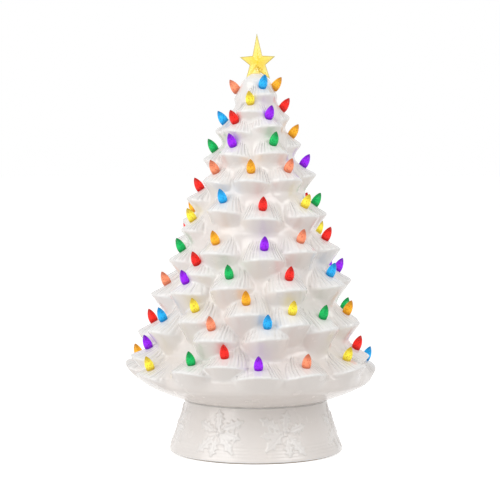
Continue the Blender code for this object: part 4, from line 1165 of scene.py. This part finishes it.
def star_stem():
    """The star's peg, the shoulder that rests on the tree, and the stem up into the star."""
    stem_top = STAR_CENTRE - STAR_NOTCH / 2
    waist = between(STAR_SHOULDER, STAR_STEM_RADIUS, STAR_STEM_WAIST)
    profile = [
        (0, -STAR_PEG_LENGTH),
        (STAR_PEG_RADIUS - STAR_PEG_EDGE, -STAR_PEG_LENGTH),
        (STAR_PEG_RADIUS, -STAR_PEG_LENGTH + STAR_PEG_EDGE),
        (STAR_PEG_RADIUS, STAR_SHOULDER_BOTTOM),
        (STAR_SHOULDER - STAR_SHOULDER_EDGE, STAR_SHOULDER_BOTTOM),
        (STAR_SHOULDER, STAR_SHOULDER_TOP),
        (waist, stem_top / 2),
        (STAR_STEM_RADIUS, stem_top),
        (0, stem_top),
    ]
    bm = turned(profile, STAR_STEM_SIDES, Matrix.Translation((0, 0, TREE_TOP)))
    inset = bm.verts.layers.float.new("inset")
    for vert in bm.verts:
        vert[inset] = STAR_SHOULDER
    return bm


class CERAMICTREE_OT_star(TreeOperator):
    """Model the ridged clear star on its peg"""

    bl_idname = "ceramic_tree.star"
    bl_label = "Clear star"

    def execute(self, context):
        settings = context.scene.ceramic_star
        finish = star_finish(settings.colour)
        body = star_body(settings.edge_rounding)
        star = piece_from(body, "clear_star", "star", finish, STAR_SMOOTH_DEGREES)
        piece_from(star_stem(), "star_stem", "star", finish)
        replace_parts(star, "star_topper")
        return {"FINISHED"}


def pedestal_radius(height):
    """The flared outside of the pedestal, at a height above its foot."""
    share = np.clip((PEDESTAL_HEIGHT - height) / (PEDESTAL_HEIGHT - FOOT_ROUNDING), 0, 1)
    return NECK_RADIUS + (FOOT_RADIUS - NECK_RADIUS) * share**FLARE


def holly_leaf(along, across, length, depth):
    """Relief of one spiny leaf, with its midrib and side veins."""
    share = along / length
    lobe = (HOLLY_SPINES * share) % 1
    envelope = np.sin(math.pi * np.clip(share, 0, 1)) ** HOLLY_LEAF_FULLNESS
    spines = between(HOLLY_SPINE_WAIST, 1, np.abs(2 * lobe - 1) ** HOLLY_SPINE_SHARPNESS)
    width = np.where((share > 0) & (share < 1), HOLLY_LEAF_WIDTH * envelope * spines, 0)
    inside = eased(0, HOLLY_LEAF_EDGE, width - np.abs(across))
    domed = 1 - HOLLY_LEAF_DOMING * (across / HOLLY_LEAF_WIDTH) ** 2
    midrib = np.exp(-((across / HOLLY_MIDRIB_WIDTH) ** 2))
    veins = 0.5 + 0.5 * np.cos(FULL_TURN * (share * HOLLY_VEINS - np.abs(across) / HOLLY_VEIN_SLANT))
    return depth * inside * (domed - HOLLY_MIDRIB_DEPTH * midrib - HOLLY_VEIN_DEPTH * veins)


def holly_relief(bearings, heights, depth):
    """Clusters of holly leaves and berries round the pedestal, as how far they stand out."""
    relief = np.zeros((heights.shape[0], bearings.shape[1]))
    for number, bearing in enumerate(HOLLY_BEARINGS):
        turn = (bearings - math.radians(bearing) + math.pi) % FULL_TURN - math.pi
        flip = 1 - 2 * (number % 2)
        sideways = turn * pedestal_radius(heights) * flip
        upwards = heights - HOLLY_HEIGHT
        lean = HOLLY_LEAN * math.sin(HOLLY_LEAN_CYCLE * number)
        for x, z, direction, length in HOLLY_LEAVES:
            angle = math.radians(direction) + lean
            from_x = sideways - x * MM
            from_z = upwards - z * MM
            along = from_x * math.cos(angle) + from_z * math.sin(angle)
            across = from_z * math.cos(angle) - from_x * math.sin(angle)
            relief = np.maximum(relief, holly_leaf(along, across, length * MM, depth))
        for x, z in HOLLY_BERRIES:
            away = (sideways - x * MM) ** 2 + (upwards - z * MM) ** 2
            berry = np.sqrt(np.maximum(HOLLY_BERRY_RADIUS**2 - away, 0))
            relief = np.maximum(relief, berry * depth / HOLLY_LEAF_DEPTH * HOLLY_BERRY_SHARE)
    return relief


def pedestal_stations(holly_depth):
    """The pedestal's wall as stations: under the foot, up the outside, over the collar and down inside."""
    # Painted shade, partly pooled glaze: a little on the foot and neck, all of it inside
    glazed = {"hollow": 0.1, "bare": 0.0}
    inside = {"hollow": 1.0, "bare": 0.0}
    unglazed = {"hollow": 0.0, "bare": 1.0}
    stations = [(FOOT_INSIDE, 0, unglazed), (FOOT_RADIUS - FOOT_ROUNDING, 0, unglazed)]
    for degrees in FOOT_ARC_DEGREES:
        turn = math.radians(degrees)
        radius = FOOT_RADIUS - FOOT_ROUNDING * (1 - math.sin(turn))
        stations.append((radius, FOOT_ROUNDING * (1 - math.cos(turn)), glazed))
    bearings = np.linspace(0, FULL_TURN, PEDESTAL_COLUMNS, endpoint=False)[None, :]
    levels = np.linspace(FOOT_ROUNDING, PEDESTAL_HEIGHT - NECK_ROUNDING, PEDESTAL_LEVELS)[:, None]
    relief = holly_relief(bearings, levels, holly_depth)
    ribs = 0.5 - 0.5 * np.cos(FULL_TURN * levels / FOOT_RIB_PITCH)
    above_ribs = eased(FOOT_RIB_TOP - FOOT_RIB_FADE, FOOT_RIB_TOP, levels)
    ribs = FOOT_RIB_DEPTH * ribs * (1 - above_ribs)
    plain = 1 - eased(0, HOLLY_CLEAR_EDGE, relief)
    skin = pedestal_radius(levels) + relief - ribs * plain
    for radius, level, proud in zip(skin, levels[:, 0], relief):
        # Painted shade, partly pooled glaze, lighter on the raised holly
        pool_and_shade_share = between(PEDESTAL_POOL_AND_SHADE, PEDESTAL_POOL_AND_SHADE_ON_HOLLY, np.clip(proud / MM, 0, 1))
        stations.append((radius, level, {"hollow": pool_and_shade_share, "bare": 0.0}))
    neck_arc = NECK_ARC_SHARE * NECK_ROUNDING
    inner_top = PEDESTAL_HEIGHT - PEDESTAL_WALL
    collar_top = PEDESTAL_HEIGHT + COLLAR_HEIGHT
    stations += [
        (NECK_RADIUS - neck_arc, PEDESTAL_HEIGHT - neck_arc, glazed),
        (NECK_RADIUS - NECK_ROUNDING, PEDESTAL_HEIGHT, glazed),
        (COLLAR_OUTSIDE + COLLAR_FILLET, PEDESTAL_HEIGHT, glazed),
        (COLLAR_OUTSIDE, PEDESTAL_HEIGHT + COLLAR_FILLET, glazed),
        (COLLAR_OUTSIDE, collar_top - COLLAR_EDGE, glazed),
        (COLLAR_OUTSIDE - COLLAR_EDGE, collar_top, glazed),
        (COLLAR_INSIDE + COLLAR_EDGE, collar_top, glazed),
        (COLLAR_INSIDE, collar_top - COLLAR_EDGE, inside),
        (COLLAR_INSIDE, inner_top, inside),
    ]
    lowest = PLATE_LEDGE + PLATE_LEDGE_FILLET
    for level in np.linspace(inner_top - COLLAR_ROOT, lowest, PEDESTAL_INSIDE_LEVELS):
        stations.append((pedestal_radius(level) - PEDESTAL_WALL, level, inside))
    return stations + [(FOOT_INSIDE, PLATE_LEDGE, inside)]


class CERAMICTREE_OT_pedestal(TreeOperator):
    """Model the flared pedestal with holly in relief"""

    bl_idname = "ceramic_tree.pedestal"
    bl_label = "Holly pedestal"

    def execute(self, context):
        stations = pedestal_stations(context.scene.ceramic_pedestal.holly_depth)
        bm = wrap_grid(stations, PEDESTAL_COLUMNS, PEDESTAL_FOOT)
        glaze = make_glaze(context)
        pedestal = piece_from(bm, "holly_pedestal", "base", glaze, smooth_angle=60)
        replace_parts(pedestal, "pedestal")
        return {"FINISHED"}


class CERAMICTREE_OT_seat_ring(TreeOperator):
    """Turn the silicone ring that keeps the tree off the pedestal's glaze"""

    bl_idname = "ceramic_tree.seat_ring"
    bl_label = "Seat ring"

    def execute(self, context):
        low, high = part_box("seat_ring")
        inside = COLLAR_OUTSIDE + SEAT_RING_GAP
        profile = [
            (inside, low.z),
            (SEAT_RING_OUTSIDE - SEAT_RING_EDGE, low.z),
            (SEAT_RING_OUTSIDE, low.z + SEAT_RING_EDGE),
            (SEAT_RING_OUTSIDE, high.z - SEAT_RING_EDGE),
            (SEAT_RING_OUTSIDE - SEAT_RING_EDGE, high.z),
            (inside, high.z),
        ]
        bm = turned(profile, SEAT_RING_SIDES)
        silicone = moulded_finish("pale_silicone", SILICONE, roughness=0.4, grain=0.8 * MM)
        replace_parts(piece_from(bm, "seat_ring_silicone", "base", silicone), "seat_ring")
        return {"FINISHED"}


def column_profile():
    """The light column's tube with its rounded, closed top, up the outside and down the inside."""
    corner = COLUMN_TOP - COLUMN_ROUNDING
    profile = [(COLUMN_RADIUS - COLUMN_WALL, COLUMN_BOTTOM), (COLUMN_RADIUS, COLUMN_BOTTOM)]
    for degrees in COLUMN_ARC_DEGREES:
        turn = math.radians(degrees)
        radius = COLUMN_RADIUS - COLUMN_ROUNDING * (1 - math.cos(turn))
        profile.append((radius, corner + COLUMN_ROUNDING * math.sin(turn)))
    return profile + [
        (0, COLUMN_TOP),
        (0, COLUMN_TOP - COLUMN_WALL),
        (COLUMN_RADIUS - COLUMN_ROUNDING, COLUMN_TOP - COLUMN_WALL),
        (COLUMN_RADIUS - COLUMN_WALL, corner),
    ]


class CERAMICTREE_OT_light(TreeOperator):
    """Model the frosted light column and the strip of lamps in it"""

    bl_idname = "ceramic_tree.light"
    bl_label = "Light column"

    def execute(self, context):
        bm = turned(column_profile(), COLUMN_SIDES)
        frosted = moulded_finish("frosted_tube", FROSTED_PLASTIC, 0.6, grain=MM, see_through=0.3, glow=0.12)
        column = piece_from(bm, "frosted_column", "base", frosted)
        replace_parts(column, "light_column")
        low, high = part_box("led_strip")
        bm = bmesh.new()
        inset = Vector((0, LED_PROUD, 0))
        add_block(bm, low + inset, high - inset, STRIP_EDGE)
        film = moulded_finish("strip_film", STRIP_FILM, roughness=0.4)
        strip = piece_from(bm, "lamp_strip", "base", film)
        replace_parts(strip, "led_strip")
        bm = bmesh.new()
        half = LED_SIZE / 2
        for i in range(int((high.z - low.z) / LED_PITCH)):
            level = low.z + (i + 0.5) * LED_PITCH
            add_block(bm, (-half, low.y, level - half), (half, high.y, level + half), LED_EDGE)
        gel = moulded_finish("lamp_gel", LAMP_GEL, roughness=0.3, grain=MM, glow=1.5)
        piece_from(bm, "lamps", "base", gel)
        return {"FINISHED"}


class CERAMICTREE_OT_small_parts(TreeOperator):
    """Give the parts under the pedestal their own finishes"""

    bl_idname = "ceramic_tree.small_parts"
    bl_label = "Small parts"

    def execute(self, context):
        white = moulded_finish("white_moulding", WHITE_PLASTIC, roughness=0.45)
        black = moulded_finish("black_moulding", BLACK_PLASTIC)
        steel = metal_finish("nickel_plate", NICKEL)
        finishes = {
            "felt_base": felt_finish(context.scene.ceramic_pedestal.felt),
            "bottom_plate": white,
            "battery_door": white,
            "circuit_board": board_finish(),
            "switch_housing": black,
            "switch_slider": black,
        }
        jacket = jacket_finish()
        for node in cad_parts:
            if node.startswith("aa_cell"):
                finishes[node] = jacket
            if node.startswith(("contact", "terminal", "plate_screw", "door_hinge")):
                finishes[node] = steel
        for node, finish in finishes.items():
            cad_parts[node].data.materials.clear()
            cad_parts[node].data.materials.append(finish)
        return {"FINISHED"}


def looks_direct(tree):
    """1 for what the camera sees, directly, mirrored or through glass, and 0 for the light that falls."""
    path = tree.nodes.new("ShaderNodeLightPath")
    total = path.outputs["Is Camera Ray"]
    for name in ("Is Glossy Ray", "Is Transmission Ray"):
        join = tree.nodes.new("ShaderNodeMath")
        join.operation = "MAXIMUM"
        tree.links.new(total, join.inputs[0])
        tree.links.new(path.outputs[name], join.inputs[1])
        total = join.outputs["Value"]
    return total


def aimed(obj, place, aim):
    obj.location = place
    obj.rotation_euler = (Vector(aim) - Vector(place)).to_track_quat("-Z", "Y").to_euler()


def add_lamp(name, power, size, place, aim):
    lamp = bpy.data.lights.new(name, "AREA")
    lamp.energy = power
    lamp.size = size
    lamp_object = bpy.data.objects.new(name, lamp)
    bpy.context.scene.collection.objects.link(lamp_object)
    aimed(lamp_object, place, aim)


class CERAMICTREE_OT_stage(TreeOperator):
    """Set up the white floor, the soft light and the camera"""

    bl_idname = "ceramic_tree.stage"
    bl_label = "Stage and camera"

    def execute(self, context):
        settings = context.scene.ceramic_stage
        bm = bmesh.new()
        bmesh.ops.create_grid(bm, x_segments=1, y_segments=1, size=FLOOR_SIZE / 2)
        mesh = bpy.data.meshes.new("floor")
        bm.to_mesh(mesh)
        bm.free()
        floor = bpy.data.objects.new("floor", mesh)
        context.scene.collection.objects.link(floor)
        finish = Finish("floor_white", Base_Color=FLOOR_TONE, Roughness=0.9, Emission_Color=WHITE)
        seen = looks_direct(finish.tree)
        finish.feed(finish.times(seen, settings.floor_white), "Emission Strength")
        mesh.materials.append(finish.material)

        world = bpy.data.worlds.new("soft_box")
        world.use_nodes = True
        context.scene.world = world
        tree = world.node_tree
        strength = tree.nodes.new("ShaderNodeMapRange")
        strength.inputs["To Min"].default_value = settings.ambient
        strength.inputs["To Max"].default_value = 1
        tree.links.new(looks_direct(tree), strength.inputs["Value"])
        tree.nodes["Background"].inputs["Color"].default_value = WHITE
        tree.links.new(strength.outputs["Result"], tree.nodes["Background"].inputs["Strength"])

        add_lamp("key_lamp", settings.key, KEY_SIZE, KEY_PLACE, KEY_AIM)
        add_lamp("fill_lamp", settings.fill, FILL_SIZE, FILL_PLACE, FILL_AIM)

        camera = bpy.data.objects.new("camera", bpy.data.cameras.new("camera"))
        camera.data.lens = CAMERA_LENS
        context.scene.collection.objects.link(camera)
        aimed(camera, CAMERA_PLACE, CAMERA_AIM)
        context.scene.camera = camera
        context.scene.view_settings.view_transform = "Standard"
        return {"FINISHED"}


SETTINGS = {
    "ceramic_glaze": GlazeSettings,
    "ceramic_bulbs": BulbSettings,
    "ceramic_star": StarSettings,
    "ceramic_pedestal": PedestalSettings,
    "ceramic_stage": StageSettings,
}
OPERATORS = (
    CERAMICTREE_OT_tree_body,
    CERAMICTREE_OT_bulbs,
    CERAMICTREE_OT_star,
    CERAMICTREE_OT_pedestal,
    CERAMICTREE_OT_seat_ring,
    CERAMICTREE_OT_light,
    CERAMICTREE_OT_small_parts,
    CERAMICTREE_OT_stage,
)


class CERAMICTREE_PT_panel(bpy.types.Panel):
    """Sizes and colours of the ceramic tree, and a button for each group of pieces"""

    bl_idname = "CERAMICTREE_PT_panel"
    bl_label = "Ceramic Tree"
    bl_space_type = "VIEW_3D"
    bl_region_type = "UI"
    bl_category = "Ceramic Tree"

    def draw(self, context):
        for operator in OPERATORS:
            self.layout.operator(operator.bl_idname)
        for name, group in SETTINGS.items():
            box = self.layout.box()
            for prop in group.__annotations__:
                box.prop(getattr(context.scene, name), prop)


def register():
    for group in SETTINGS.values():
        bpy.utils.register_class(group)
    for operator in OPERATORS:
        bpy.utils.register_class(operator)
    bpy.utils.register_class(CERAMICTREE_PT_panel)
    for name, group in SETTINGS.items():
        setattr(bpy.types.Scene, name, PointerProperty(type=group))


def unregister():
    for name in SETTINGS:
        delattr(bpy.types.Scene, name)
    bpy.utils.unregister_class(CERAMICTREE_PT_panel)
    for operator in reversed(OPERATORS):
        bpy.utils.unregister_class(operator)
    for group in reversed(SETTINGS.values()):
        bpy.utils.unregister_class(group)


def main():
    register()
    bpy.ops.ceramic_tree.stage()
    bpy.ops.ceramic_tree.tree_body()
    bpy.ops.ceramic_tree.bulbs()
    bpy.ops.ceramic_tree.star()
    bpy.ops.ceramic_tree.pedestal()
    bpy.ops.ceramic_tree.seat_ring()
    bpy.ops.ceramic_tree.light()
    bpy.ops.ceramic_tree.small_parts()


if __name__ == "__main__":
    main()
